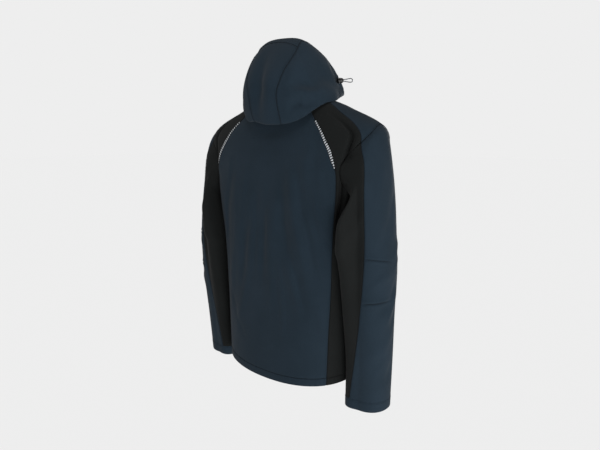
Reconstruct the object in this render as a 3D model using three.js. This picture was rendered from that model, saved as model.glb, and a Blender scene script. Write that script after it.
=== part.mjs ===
// A hooded softshell jacket, standing open in the shape it has when worn, with nobody in it.
//
// Every piece of cloth is a wall of the real thickness, wrapped on the form that the cut gives the garment:
// the body form runs from the neck seam to the hem, each sleeve form from the armhole to the cuff, the collar form
// stands on the neck seam, and the hood form goes from the face opening back over the head and under to the neck
// seam. The seams are lines on those forms, and a pattern piece is the patch between its seams, so neighbours share
// one line and lie a seam's gap apart.
//
// Lengths are in millimetres. +Z is up, the front faces -Y and the wearer's left is +X. The origin is the middle of
// the neck, between the shoulders, where the wearer carries the jacket.
import * as THREE from "three";

const CLOTH = 2.0; // bonded softshell with a fleece back
const TURNED = 2.8; // a cuff, where the cloth is folded double and pressed
const SEAM_GAP = 0.3; // neighbouring pieces stand this far apart
const ZIP_HALF = 8; // each front edge stops this far from the middle, and the zip fills the strip between

const NAVY = { color: 0x1c2a38, roughness: 0.85, metalness: 0 };
const BLACK = { color: 0x141615, roughness: 0.85, metalness: 0 };
const SILVER = { color: 0xd9dcdd, roughness: 0.4, metalness: 0 };
const PLASTIC = { color: 0x0c0d0e, roughness: 0.45, metalness: 0 };
const METAL = { color: 0x303336, roughness: 0.35, metalness: 0.9 };
const CORD = { color: 0x1a2230, roughness: 0.7, metalness: 0 };

const { degToRad, radToDeg, lerp, clamp, smoothstep } = THREE.MathUtils;
const vec = (x, y, z) => new THREE.Vector3(x, y, z);
const sin = (degrees) => Math.sin(degToRad(degrees));
const cos = (degrees) => Math.cos(degToRad(degrees));

// Evenly spaced stops from one number to another.
const stops = (from, to, count) => Array.from({ length: count + 1 }, (_, i) => lerp(from, to, i / count));

// A smooth line through the points, in even steps from one point to the next.
const through = (points) => new THREE.CatmullRomCurve3(points, false, "centripetal");

// A number that changes smoothly along a list: where 3.5 is halfway from entry 3 to entry 4.
function along(list, where) {
  const last = list.length - 1;
  const row = clamp(Math.floor(where), 0, last - 1);
  const t = clamp(where - row, 0, 1);
  const at = (i) => list[clamp(i, 0, last)];
  const [a, b, c, d] = [at(row - 1), at(row), at(row + 1), at(row + 2)];
  return b + 0.5 * t * (c - a + t * (2 * a - 5 * b + 4 * c - d + t * (3 * (b - c) + d - a)));
}

// Rows of values under named columns, as a list of objects.
const table = (columns, ...rows) => rows.map((row) => Object.fromEntries(row.map((value, i) => [columns[i], value])));

// How far a rounded box reaches in a direction: square is 2 for an ellipse and more for squarer corners.
const boxReach = (degrees, square) => (
  Math.abs(sin(degrees)) ** square + Math.abs(cos(degrees)) ** square
) ** (-1 / square);

// The creases that wearing has put in, as soft ridges (height above 0) and troughs (below 0) on a form. Each runs
// from a place to a place; the first number goes across the form and the second down it, as for the form itself.
// width is half the width in mm, and the two scales turn steps on the form into mm.
const around = (turn) => turn - 360 * Math.round(turn / 360);
function creaseHeight(creases, scale, u, v) {
  let height = 0;
  for (const crease of creases) {
    const run = [(crease.to[0] - crease.from[0]) * scale[0], (crease.to[1] - crease.from[1]) * scale[1]];
    const off = [around(u - crease.from[0]) * scale[0], (v - crease.from[1]) * scale[1]];
    const length = Math.hypot(run[0], run[1]);
    const down = (off[0] * run[0] + off[1] * run[1]) / (length * length);
    const aside = Math.abs(off[0] * run[1] - off[1] * run[0]) / length;
    const taper = smoothstep(down, -0.15, 0.3) * (1 - smoothstep(down, 0.7, 1.15));
    height += crease.height * taper * Math.exp(-((aside / crease.width) ** 2));
  }
  return height;
}

// The outward direction of a form at a place. Every form is laid out so that across, then down, turns outwards.
function facing(form, u, v, least, most) {
  const step = 0.01;
  const acrossIt = form(u + step, v).sub(form(u - step, v));
  const downIt = form(u, Math.min(v + step, most)).sub(form(u, Math.max(v - step, least)));
  return acrossIt.cross(downIt).normalize();
}

// The body form. Each ring goes round the body: half is its reach to each side, rear and fore its reach to the back
// and the front, and side, back and front are its heights there. The squares say how boxy its two halves are.
const BODY_RINGS = table(
  ["ring", "half", "rear", "fore", "side", "back", "front", "squareRear", "squareFore"],
  ["neck seam", 90, 70, 98, 12, 10, -56, 2.2, 2.3],
  ["shoulder", 160, 90, 110, -14, -42, -108, 2.5, 2.4],
  ["cap", 260, 106, 118, -72, -98, -160, 2.7, 2.1],
  ["armhole", 228, 116, 124, -152, -170, -205, 3.6, 2.8],
  ["underarm", 218, 122, 128, -248, -252, -265, 3.3, 2.8],
  ["chest", 208, 122, 128, -340, -345, -345, 3.0, 2.7],
  ["waist", 204, 118, 124, -480, -490, -480, 2.9, 2.6],
  ["hip", 199, 123, 126, -597, -608, -596, 2.75, 2.5],
  ["hem", 196, 128, 128, -678, -700, -674, 2.6, 2.5],
);
const HEM = BODY_RINGS.length - 1;
const BODY_SCALE = [3.4, 105];
const BODY_CREASES = [
  { from: [24, 3.2], to: [42, 6.4], height: 5, width: 14 },
  { from: [17, 4.4], to: [24, 5.8], height: -3, width: 12 },
  { from: [11, 4.4], to: [33, 6.9], height: 3, width: 13 },
  { from: [2, 4.1], to: [4, 5.6], height: -4, width: 13 },
  { from: [-7, 3.8], to: [-2, 6.3], height: 3, width: 13 },
  { from: [-12, 4.0], to: [-16, 5.4], height: -3, width: 13 },
  { from: [-17, 2.7], to: [-31, 5.5], height: 5, width: 14 },
  { from: [-23, 2.9], to: [-37, 5.5], height: -6, width: 13 },
  { from: [-22, 2.2], to: [-41, 4.6], height: 4, width: 12 },
  { from: [-28, 1.6], to: [-39, 3.3], height: -3, width: 13 },
  { from: [-15, 5.2], to: [-32, 6.4], height: 3, width: 12 },
  { from: [-24, 5.4], to: [-31, 6.4], height: -3, width: 11 },
  { from: [104, 4.4], to: [110, 6.9], height: 4, width: 18 },
  { from: [128, 2.6], to: [116, 4.4], height: -5, width: 18 },
  { from: [134, 2.2], to: [150, 4.9], height: 5, width: 19 },
  { from: [146, 3.6], to: [140, 5.8], height: -4, width: 17 },
  { from: [160, 2.4], to: [156, 4.4], height: -3, width: 16 },
  { from: [-105, 4.2], to: [-112, 6.4], height: 4, width: 18 },
  { from: [-124, 2.4], to: [-118, 4.8], height: -5, width: 19 },
  { from: [-138, 2.8], to: [-146, 5.2], height: 5, width: 18 },
  { from: [-152, 4.2], to: [-146, 6.6], height: -4, width: 17 },
  { from: [-158, 2.2], to: [-160, 4.0], height: -3, width: 16 },
];

function bodyRingPoint(ring, turn) {
  const behind = cos(turn) > 0;
  const reach = boxReach(turn, behind ? ring.squareRear : ring.squareFore);
  return vec(
    ring.half * reach * sin(turn),
    (behind ? ring.rear : ring.fore) * reach * cos(turn),
    lerp(ring.side, behind ? ring.back : ring.front, cos(turn) ** 2),
  );
}

const bodyLines = new Map();
function smoothBody(turn, level) {
  const key = turn.toFixed(4);
  if (!bodyLines.has(key)) bodyLines.set(key, through(BODY_RINGS.map((ring) => bodyRingPoint(ring, turn))));
  return bodyLines.get(key).getPoint(clamp(level / HEM, 0, 1));
}

// turn goes round the body from 0 at the centre back, through 90 at the left side, to 180 at the centre front.
// level counts the rings, so 3.5 is halfway from the fourth ring to the fifth.
function onBody(turn, level) {
  const point = smoothBody(turn, level);
  const height = creaseHeight(BODY_CREASES, BODY_SCALE, turn, level);
  if (height === 0) return point;
  return point.addScaledVector(facing(smoothBody, turn, level, 0, HEM), height);
}

// One half of the body form, with the right half turned over onto the left.
const turnOver = (p) => p.setX(-p.x);
const halfBody = {
  left: onBody,
  right: (turn, level) => turnOver(onBody(-turn, level)),
};

// The armhole on the body form: round is 0 at its top, 90 at its front, 180 under the arm and 270 at its back.
const ARMHOLE = { turn: 92, level: 2.88, toFront: 22, toBack: 45, up: 1.13, down: 1.1 };
const UNDERARM = 180;
const armholeTurn = (round) => ARMHOLE.turn + sin(round) * (sin(round) > 0 ? ARMHOLE.toFront : ARMHOLE.toBack);
const armholeLevel = (round) => ARMHOLE.level - cos(round) * (cos(round) > 0 ? ARMHOLE.up : ARMHOLE.down);
const armholeAt = (round) => [armholeTurn(round), armholeLevel(round)];

// The left sleeve form. Each ring goes round the arm: out and in are its reach away from the body and towards it,
// fore and rear its reach to the front and the back, and lift is how much higher its outer side is than its middle.
const SLEEVE_RINGS = table(
  ["ring", "x", "y", "z", "out", "in", "fore", "rear", "lift", "square", "hug"],
  ["cap", 234, 10, -163, 29, 15, 63, 80, 92, 1.7, 0.35],
  ["upper arm", 243, 17, -240, 43, 23, 58, 74, 52, 2, 1.0],
  ["biceps", 248, 23, -330, 50, 34, 58, 71, 18, 2.2, 0.75],
  ["elbow", 250, 25, -400, 54, 40, 57, 67, 6, 2.2, 0.55],
  ["forearm", 250, 27, -490, 53, 42, 52, 59, 3, 2.2, 0.42],
  ["wrist", 248, 20, -607, 51, 44, 46, 54, 0, 2.2, 0.3],
  ["cuff", 243, 13, -730, 50, 46, 43, 53, 0, 2.2, 0.25],
);
const CUFF_EDGE = SLEEVE_RINGS.length;
const CUFF_SEAM = CUFF_EDGE - 0.19;
const SLEEVE_SCALE = [0.95, 95];
// The arms do not hang quite alike: how far each cuff is lower than the table says.
const HANG = { left: -17, right: 6 };
const SLEEVE_CREASES = {
  left: [
    { from: [60, 3.7], to: [165, 4.1], height: -6, width: 17 },
    { from: [50, 4.6], to: [160, 4.4], height: -5, width: 18 },
    { from: [80, 4.3], to: [170, 4.9], height: 4, width: 18 },
    { from: [-80, 2.4], to: [-150, 3.6], height: 4, width: 18 },
    { from: [40, 5.9], to: [130, 5.6], height: -3, width: 18 },
  ],
  right: [
    { from: [70, 3.9], to: [165, 3.7], height: -6, width: 17 },
    { from: [60, 4.3], to: [150, 4.8], height: -5, width: 18 },
    { from: [12, 4.4], to: [-30, 5.2], height: 3, width: 16 },
    { from: [-85, 2.2], to: [-150, 3.2], height: 4, width: 18 },
    { from: [60, 5.6], to: [150, 6.0], height: -3, width: 18 },
  ],
};

function sleeveForm(side) {
  const drop = HANG[side];
  const ringPoint = (ring, round) => {
    const outside = cos(round) > 0;
    const forward = sin(round) > 0;
    const hug = outside || forward ? 0 : ring.hug * sin(2 * round) ** 2;
    const reach = boxReach(round, ring.square) * (1 + hug);
    const lower = drop * smoothstep(-ring.z, 200, 730);
    return vec(
      ring.x + (outside ? ring.out : ring.in) * reach * cos(round),
      ring.y - (forward ? ring.fore : ring.rear) * reach * sin(round),
      ring.z + ring.lift * cos(round) - lower,
    );
  };
  const lines = new Map();
  const smooth = (round, level) => {
    const key = round.toFixed(4);
    if (!lines.has(key)) {
      const seam = halfBody[side](armholeTurn(round), armholeLevel(round));
      lines.set(key, through([seam, ...SLEEVE_RINGS.map((ring) => ringPoint(ring, round))]));
    }
    return lines.get(key).getPoint(clamp(level / CUFF_EDGE, 0, 1));
  };
  // round goes round the sleeve as it goes round the armhole. level is 0 at the armhole and counts the rings down.
  return (round, level) => {
    const point = smooth(round, level);
    const near = smoothstep(level, 0, 0.6) * (1 - smoothstep(level, CUFF_SEAM - 0.4, CUFF_SEAM));
    const height = near * creaseHeight(SLEEVE_CREASES[side], SLEEVE_SCALE, round, level);
    if (height === 0) return point;
    return point.addScaledVector(facing(smooth, round, level, 0, CUFF_EDGE), height);
  };
}

// The collar form, from its top edge at 0 down to the neck seam at 1. It stands a little inside the neck seam, where
// the hood is sewn on round it.
const COLLAR_TOP = { half: 86, rear: 64, fore: 94, side: 74, back: 78, front: 14, squareRear: 2.2, squareFore: 2.4 };
const COLLAR_INSET = 3;

function onCollar(turn, down) {
  const top = bodyRingPoint(COLLAR_TOP, turn);
  const seam = smoothBody(turn, 0);
  const inwards = seam.clone().setZ(0).normalize().multiplyScalar(-COLLAR_INSET);
  return top.lerp(seam.add(inwards), down);
}

// The hood form. Each bow goes from the neck over the head to the other side of the neck. From the middle down it
// passes the crown, the temple, the cheek and the rest, which is where it lies on the shoulder, and then turns under
// to its foot on the collar. crown has y and z, the others x, y and z, and foot has a turn and a height on the
// collar.
const HOOD_BOWS = table(
  ["bow", "crown", "temple", "cheek", "rest", "foot"],
  ["face edge", [-42, 134], [52, -40, 119], [90, -50, 72], [102, -66, 22], [128, 0.62]],
  ["brow", [2, 148], [62, 2, 130], [98, -18, 68], [115, -30, 12], [108, 0.78]],
  ["crown", [46, 153], [62, 48, 137], [100, 24, 60], [125, 6, 2], [90, 0.8]],
  ["upper back", [94, 124], [69, 84, 100], [102, 66, 34], [123, 45, -5], [72, 0.76]],
  ["back", [137, 52], [64, 122, 42], [97, 97, 12], [109, 82, -25], [56, 0.82]],
  ["lower back", [138, 4], [62, 124, 0], [91, 106, -14], [97, 96, -38], [42, 0.9]],
  ["nape fold", [113, -55], [44, 110, -54], [72, 103, -49], [82, 94, -41], [30, 0.94]],
  ["under the fold", [93, -22], [34, 90, -21], [50, 84, -17], [52, 75, -2], [25, 0.94]],
  ["neck seam", [0, 0], [0, 0, 0], [0, 0, 0], [0, 0, 0], [20, 0.94]],
);
const NAPE = HOOD_BOWS.length - 1;
// The hood has slumped to the right a little: how its left temple, cheek, rest and foot differ from the right ones.
const HOOD_LEFT = [[0, 0, 7], [-2, -2, 2], [-12, -2, 4], [0, 0, 0]];
const HOOD_SCALE = [150, 60];
const HOOD_CREASES = [
  { from: [0.03, 2.9], to: [0.02, 5.4], height: -5, width: 15 },
  { from: [0.33, 3.4], to: [0.5, 5.3], height: -4, width: 13 },
  { from: [-0.34, 3.2], to: [-0.5, 4.9], height: -3, width: 12 },
  { from: [-0.45, 1.0], to: [-0.6, 3.4], height: 3, width: 14 },
  { from: [0.42, 1.2], to: [0.6, 3.6], height: 3, width: 14 },
];

const offCollar = (turn, down) => onCollar(turn, down).addScaledVector(facing(onCollar, turn, down, 0, 1), 1.2);

function hoodBow(index) {
  const { crown, temple, cheek, rest, foot } = HOOD_BOWS[index];
  if (index === NAPE) {
    return through(stops(-foot[0], foot[0], 8).map((turn) => offCollar(turn, foot[1])));
  }
  const half = [vec(...temple), vec(...cheek), vec(...rest), offCollar(foot[0], foot[1])];
  const otherHalf = half.map((p) => vec(-p.x, p.y, p.z)).reverse();
  const share = Math.min(1, index / 3);
  const leftHalf = half.map((p, place) => p.clone().addScaledVector(vec(...HOOD_LEFT[place]), share));
  return through([...otherHalf, vec(0, crown[0], crown[1]), ...leftHalf]);
}
const hoodBows = HOOD_BOWS.map((_, index) => hoodBow(index));

const hoodLines = new Map();
function smoothHood(over, bow) {
  const key = over.toFixed(5);
  if (!hoodLines.has(key)) {
    const across = clamp((over + 1) / 2, 0, 1);
    hoodLines.set(key, through(hoodBows.map((curve) => curve.getPoint(across))));
  }
  return hoodLines.get(key).getPoint(clamp(bow / NAPE, 0, 1));
}

// over is -1 at the right foot, 0 on the crown and 1 at the left foot. bow counts the bows from the face edge back.
function onHood(over, bow) {
  const point = smoothHood(over, bow);
  const height = creaseHeight(HOOD_CREASES, HOOD_SCALE, over, bow);
  if (height === 0) return point;
  return point.addScaledVector(facing(smoothHood, over, bow, 0, NAPE), height);
}

const halfHood = {
  left: onHood,
  right: (over, bow) => turnOver(onHood(-over, bow)),
};

// A patch of a form between four seams. top and bottom run the same way across, left and right the same way down.
// Each seam is a list of places on the form. Between left and right the patch is filled in even proportion, and the
// bends of top and bottom die out within a few rows.
function patch(top, bottom, left, right) {
  const columns = top.length - 1;
  const rows = left.length - 1;
  const places = [];
  for (let i = 0; i <= rows; i++) {
    const down = i / rows;
    for (let j = 0; j <= columns; j++) {
      const across = j / columns;
      places.push([0, 1].map((k) => {
        const topBend = top[j][k] - lerp(top[0][k], top[columns][k], across);
        const bottomBend = bottom[j][k] - lerp(bottom[0][k], bottom[columns][k], across);
        return lerp(left[i][k], right[i][k], across) + (1 - down) ** 3 * topBend + down ** 3 * bottomBend;
      }));
    }
  }
  return { places, rows, columns };
}

// A cloth wall on a form: the outer face is the patch and the inner face lies a thickness inside it. The seam gap
// comes off every edge. meets gives, for a place on an edge, the outward direction of the neighbour there, so that
// both walls end in one mitred edge. raise moves the wall out, for a piece that lies on another.
function clothWall({ form, ends, cut, thickness = CLOTH, raise = 0, meets = () => null, closed = false }) {
  const { places, rows, columns } = cut;
  const width = columns + 1;
  const count = places.length;
  const outer = places.map(([u, v]) => form(u, v));
  const normals = places.map(([u, v]) => {
    const own = facing(form, u, v, ends[0], ends[1]);
    const other = meets(u, v);
    if (!other) return own;
    return own.addScaledVector(other, smoothstep(own.dot(other), -0.7, -0.1)).normalize();
  });
  const smooth = outer.map((p) => p.clone());
  const pull = (to, from) => {
    const way = smooth[from].clone().sub(smooth[to]);
    outer[to].addScaledVector(way.normalize(), SEAM_GAP / 2);
  };
  for (let j = 0; j <= columns; j++) {
    pull(j, j + width);
    pull(rows * width + j, (rows - 1) * width + j);
  }
  for (let i = 0; i <= rows && !closed; i++) {
    pull(i * width, i * width + 1);
    pull(i * width + columns, i * width + columns - 1);
  }
  const faces = outer.map((p, i) => p.clone().addScaledVector(normals[i], raise));
  const backs = outer.map((p, i) => p.clone().addScaledVector(normals[i], raise - thickness));
  const wrap = (j) => (closed ? j % columns : j);
  const at = (i, j) => i * width + wrap(j);
  const triangles = [];
  const quad = (a, b, c, d) => triangles.push(a, b, c, a, c, d);
  for (let i = 0; i < rows; i++) {
    for (let j = 0; j < columns; j++) {
      const corners = [at(i, j), at(i + 1, j), at(i + 1, j + 1), at(i, j + 1)];
      quad(...corners);
      quad(...corners.map((k) => k + count).reverse());
    }
    if (!closed) {
      const [left, leftNext] = [at(i, 0), at(i + 1, 0)];
      const [right, rightNext] = [at(i, columns), at(i + 1, columns)];
      quad(left, left + count, leftNext + count, leftNext);
      quad(right, rightNext, rightNext + count, right + count);
    }
  }
  for (let j = 0; j < columns; j++) {
    const [top, topNext] = [at(0, j), at(0, j + 1)];
    const [low, lowNext] = [at(rows, j), at(rows, j + 1)];
    quad(top, topNext, topNext + count, top + count);
    quad(low, low + count, lowNext + count, lowNext);
  }
  return solidFrom([...faces, ...backs], triangles);
}

// A solid from its corners and triangles, turned round if it is inside out.
function solidFrom(points, triangles) {
  let volume = 0;
  for (let i = 0; i < triangles.length; i += 3) {
    const [a, b, c] = [0, 1, 2].map((k) => points[triangles[i + k]]);
    volume += a.dot(b.clone().cross(c));
  }
  const index = volume > 0 ? triangles : triangles.slice().reverse();
  const geometry = new THREE.BufferGeometry();
  geometry.setAttribute("position", new THREE.Float32BufferAttribute(points.flatMap((p) => p.toArray()), 3));
  geometry.setIndex(index);
  return geometry;
}

const jacket = new THREE.Group();
function add(name, geometry, finish) {
  const mesh = new THREE.Mesh(geometry, new THREE.MeshStandardMaterial(finish));
  mesh.name = name;
  jacket.add(mesh);
}

// The same piece for the other side of the body.
function mirrorX(geometry) {
  const position = geometry.getAttribute("position");
  const points = Array.from({ length: position.count }, (_, i) => {
    return vec(-position.getX(i), position.getY(i), position.getZ(i));
  });
  return solidFrom(points, Array.from(geometry.getIndex().array).reverse());
}

// How many cells each seam is divided into. Pieces that share a seam share its divisions.
const CELLS = {
  shoulder: 6,
  neckFront: 8,
  rearArmhole: 7,
  foreArmhole: 11,
  side: 10,
  sideTop: 5,
  back: 20,
  sleeve: 18,
};

// BACK_SEAM joins the back to the side, with the turn at every half level from the neck to the hem.
const BACK_SEAM = [42, 40.4, 38.6, 34.5, 33.5, 38.5, 44.5, 46.8, 47.7, 48.6, 49.2, 49.1, 48.6, 48.6, 49.1, 49.6, 50];
const BACK_SEAM_STEP = 0.5;
// SHOULDER_SEAM joins the side to the front, which comes over the shoulder to meet it: the turn at even steps from
// the neck to the armhole. SHOULDER_END is where it gets there, as degrees round the armhole.
const SHOULDER_SEAM = [76, 71, 66.5, 61.2, 56.5];
const SHOULDER_END = 305.9;

const shoulderLine = [...SHOULDER_SEAM, armholeTurn(SHOULDER_END)];
const shoulderSeam = stops(0, 1, CELLS.shoulder).map((t) => [
  along(shoulderLine, t * SHOULDER_SEAM.length),
  lerp(0, armholeLevel(SHOULDER_END), t),
]);
const rearArmhole = stops(SHOULDER_END, UNDERARM, CELLS.rearArmhole).map(armholeAt);
const foreArmhole = stops(SHOULDER_END - 360, UNDERARM, CELLS.foreArmhole).map(armholeAt);
const sideSeam = stops(armholeLevel(UNDERARM), HEM, CELLS.side).map((level) => [ARMHOLE.turn, level]);
const rearEdge = [...shoulderSeam, ...rearArmhole.slice(1), ...sideSeam.slice(1)];
const foreEdge = [...foreArmhole, ...sideSeam.slice(1)];
const backSeam = rearEdge.map(([, level], i) => {
  const even = HEM * (i / (rearEdge.length - 1));
  const eased = lerp(level, even, 0.35);
  return [along(BACK_SEAM, eased / BACK_SEAM_STEP), eased];
});
const mirrored = (line) => line.map(([turn, level]) => [-turn, level]);

// The turn at which a ring of the body is a given distance from the middle plane, at the front.
function frontTurn(level, distance) {
  let turn = 178;
  for (let i = 0; i < 6; i++) turn = 180 - radToDeg(Math.asin(distance / (smoothBody(turn, level).x / sin(turn))));
  return turn;
}

const sleeves = { left: sleeveForm("left"), right: sleeveForm("right") };

// At the armhole the body's walls and the sleeve's walls end in one mitred edge.
const placeKey = (place) => place.map((number) => number.toFixed(6)).join();
const rearRounds = stops(SHOULDER_END, UNDERARM, CELLS.rearArmhole);
const foreRounds = stops(SHOULDER_END - 360, UNDERARM, CELLS.foreArmhole);
const roundOf = new Map([...rearRounds, ...foreRounds].map((round) => [placeKey(armholeAt(round)), round]));
const sleeveAtBody = (side) => (turn, level) => {
  const round = roundOf.get(placeKey([turn, level]));
  return round === undefined ? null : facing(sleeves[side], round, 0, 0, CUFF_EDGE);
};
const bodyAtSleeve = (side) => (round, level) => {
  if (level > 1e-9) return null;
  return facing(halfBody[side], armholeTurn(round), armholeLevel(round), 0, HEM);
};
const turnedFor = { left: (geometry) => geometry, right: mirrorX };

const bodyRow = (from, to, level, count) => stops(from, to, count).map((turn) => [turn, level]);
const lastRow = rearEdge.length - 1;
const neckTurn = backSeam[0][0];
const hemTurn = backSeam[lastRow][0];
const backCut = patch(
  bodyRow(-neckTurn, neckTurn, 0, CELLS.back),
  bodyRow(-hemTurn, hemTurn, HEM, CELLS.back),
  mirrored(backSeam),
  backSeam,
);
const sideCut = patch(
  bodyRow(neckTurn, rearEdge[0][0], 0, CELLS.sideTop),
  bodyRow(hemTurn, ARMHOLE.turn, HEM, CELLS.sideTop),
  backSeam,
  rearEdge,
);
const zipEdge = foreEdge.map((_, i) => {
  const level = HEM * (i / (foreEdge.length - 1)) ** 0.75;
  return [frontTurn(level, ZIP_HALF), level];
});
const frontTop = bodyRow(shoulderSeam[0][0], zipEdge[0][0], 0, CELLS.neckFront);
const frontCut = patch(
  [...shoulderSeam.slice(1).reverse(), ...frontTop],
  bodyRow(ARMHOLE.turn, zipEdge[foreEdge.length - 1][0], HEM, CELLS.shoulder + CELLS.neckFront),
  foreEdge,
  zipEdge,
);

function addBody() {
  add("back", clothWall({ form: onBody, ends: [0, HEM], cut: backCut }), NAVY);
  for (const side of ["left", "right"]) {
    const wall = { form: halfBody[side], ends: [0, HEM], meets: sleeveAtBody(side) };
    add(`side_${side}`, turnedFor[side](clothWall({ ...wall, cut: sideCut })), BLACK);
    add(`front_${side}`, turnedFor[side](clothWall({ ...wall, cut: frontCut })), NAVY);
  }
}

// The sleeve's two pieces: the black one goes down the back and the inside, the navy one round the rest.
// SLEEVE_SEAM is how far round the seam between them is at each ring, from the armhole to the cuff.
const SLEEVE_SEAM = [SHOULDER_END, 295.5, 288.1, 287, 280.9, 270.2, 252.5, 239.3];

const CUFF_CELLS = 20;

function addSleeve(side) {
  const form = sleeves[side];
  const turned = turnedFor[side];
  const seam = stops(0, CUFF_SEAM, CELLS.sleeve).map((level) => [along(SLEEVE_SEAM, level), level]);
  const under = seam.map(([, level]) => [UNDERARM, level]);
  const across = (from, level, count) => stops(from, UNDERARM, count).map((round) => [round, level]);
  const seamEnd = seam[CELLS.sleeve][0];
  const wall = { form, ends: [0, CUFF_EDGE], meets: bodyAtSleeve(side) };
  const rear = patch(
    across(SHOULDER_END, 0, CELLS.rearArmhole),
    across(seamEnd, CUFF_SEAM, CELLS.rearArmhole),
    seam,
    under,
  );
  add(`sleeve_back_${side}`, turned(clothWall({ ...wall, cut: rear })), BLACK);
  const fore = patch(
    across(SHOULDER_END - 360, 0, CELLS.foreArmhole),
    across(seamEnd - 360, CUFF_SEAM, CELLS.foreArmhole),
    seam.map(([round, level]) => [round - 360, level]),
    under,
  );
  add(`sleeve_front_${side}`, turned(clothWall({ ...wall, cut: fore })), NAVY);
  const rounds = stops(-180, 180, CUFF_CELLS);
  const cuff = { rows: 1, columns: CUFF_CELLS, places: [] };
  for (const level of [CUFF_SEAM, CUFF_EDGE]) for (const round of rounds) cuff.places.push([round, level]);
  const band = clothWall({ form, ends: [0, CUFF_EDGE], cut: cuff, thickness: TURNED, raise: 0.5, closed: true });
  add(`cuff_${side}`, turned(band), NAVY);
}

// The hood is a strip over the middle, from the brim back to the nape, a brim in front of it and two sides.
// HOOD_SEAM is how far over the strip's edge is at each bow.
const HOOD_SEAM = [0.19, 0.2, 0.22, 0.215, 0.19, 0.165, 0.235, 0.28, 0.35];
const BRIM_SEAM = 2.58; // the bow along which the brim meets the strip
const HOOD_CELLS = { brim: 5, strip: 14, middle: 6, side: 9 };

function addHood() {
  const wall = (cut) => clothWall({ form: onHood, ends: [0, NAPE], cut });
  const brimBows = stops(0, BRIM_SEAM, HOOD_CELLS.brim);
  const stripBows = stops(BRIM_SEAM, NAPE, HOOD_CELLS.strip);
  const seamAt = (bow) => [along(HOOD_SEAM, bow), bow];
  const middleOf = (bows) => {
    const seam = bows.map(seamAt);
    const across = ([over, bow]) => stops(-over, over, HOOD_CELLS.middle).map((o) => [o, bow]);
    return patch(across(seam[0]), across(seam[seam.length - 1]), mirrored(seam), seam);
  };
  add("hood_brim", wall(middleOf(brimBows)), NAVY);
  add("hood_strip", wall(middleOf(stripBows)), NAVY);
  const seam = [...brimBows, ...stripBows.slice(1)].map(seamAt);
  const foot = seam.map(([, bow]) => [1, bow]);
  const across = ([over, bow]) => stops(over, 1, HOOD_CELLS.side).map((o) => [o, bow]);
  const cut = patch(across(seam[0]), across(seam[seam.length - 1]), seam, foot);
  for (const side of ["left", "right"]) {
    add(`hood_side_${side}`, turnedFor[side](clothWall({ form: halfHood[side], ends: [0, NAPE], cut })), NAVY);
  }
}

const zipTurn = frontTurn(0, ZIP_HALF);

function addCollar() {
  const half = [
    ...stops(0, neckTurn, CELLS.back / 2),
    ...stops(neckTurn, rearEdge[0][0], CELLS.sideTop).slice(1),
    ...stops(rearEdge[0][0], zipTurn, CELLS.neckFront).slice(1),
  ];
  const turns = [...half.slice(1).map((turn) => -turn).reverse(), ...half];
  const collar = { rows: 3, columns: turns.length - 1, places: [] };
  for (const down of stops(0, 1, collar.rows)) for (const turn of turns) collar.places.push([turn, down]);
  add("collar", clothWall({ form: onCollar, ends: [0, 1], cut: collar }), NAVY);
}

// The silver trims lie on the back seams, from under the hood to the armhole. They taper to both ends.
// from and to count the seam's rows, and width is in mm at even steps.
const TRIM = { from: 3.5, to: 8.2, width: [4, 5, 6, 7, 7.6, 6.4, 1.6], over: 0.4, thick: 0.6, cells: 12 };

function addTrim(side) {
  const at = (cut, row, column) => {
    const point = ([turn, level]) => halfBody[side](turn, level);
    const upper = point(cut.places[Math.floor(row) * (cut.columns + 1) + column]);
    return upper.lerp(point(cut.places[Math.ceil(row) * (cut.columns + 1) + column]), row % 1);
  };
  const points = { face: [], back: [] };
  for (const t of stops(0, 1, TRIM.cells)) {
    const row = lerp(TRIM.from, TRIM.to, t);
    const seam = at(sideCut, row, 0);
    const inwards = at(backCut, row, backCut.columns - 1).sub(seam).normalize();
    const outwards = at(sideCut, row, 1).sub(seam).normalize();
    const down = at(sideCut, Math.min(row + 0.2, lastRow), 0).sub(at(sideCut, row - 0.2, 0)).normalize();
    const out = outwards.clone().sub(inwards).cross(down).normalize();
    const half = along(TRIM.width, t * (TRIM.width.length - 1)) / 2;
    for (const [way, reach] of [[inwards, half], [outwards, 0], [outwards, half]]) {
      const base = seam.clone().addScaledVector(way, reach);
      points.face.push(base.clone().addScaledVector(out, TRIM.over + TRIM.thick));
      points.back.push(base.clone().addScaledVector(out, TRIM.over));
    }
  }
  add(`trim_${side}`, turnedFor[side](slab(points.face, points.back, TRIM.cells, 2)), SILVER);
}

// A closed slab from two matching grids of points, row by row.
function slab(face, back, rows, columns) {
  const count = face.length;
  const width = columns + 1;
  const triangles = [];
  const quad = (a, b, c, d) => triangles.push(a, b, c, a, c, d);
  for (let i = 0; i < rows; i++) {
    for (let j = 0; j < columns; j++) {
      const corners = [i * width + j, (i + 1) * width + j, (i + 1) * width + j + 1, i * width + j + 1];
      quad(...corners);
      quad(...corners.map((k) => k + count).reverse());
    }
    const [left, leftNext] = [i * width, (i + 1) * width];
    const [right, rightNext] = [left + columns, leftNext + columns];
    quad(left, left + count, leftNext + count, leftNext);
    quad(right, rightNext, rightNext + count, right + count);
  }
  for (let j = 0; j < columns; j++) {
    const low = rows * width + j;
    quad(j, j + 1, j + 1 + count, j + count);
    quad(low, low + count, low + 1 + count, low + 1);
  }
  return solidFrom([...face, ...back], triangles);
}

// The front zip. Its line runs down the middle of the front, from the collar's top to the hem: place is -1 at the
// top of the collar, 0 at the neck seam and counts the body's levels below that.
const ZIP = { tape: 16, tapeThick: 0.8, behind: 2.7, chain: 3.1, chainThick: 2.4, top: -0.93, hem: HEM - 0.04 };
const zipPlaces = [...stops(ZIP.top, 0, 4), 0.15, ...stops(0.5, ZIP.hem, 24)];

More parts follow.
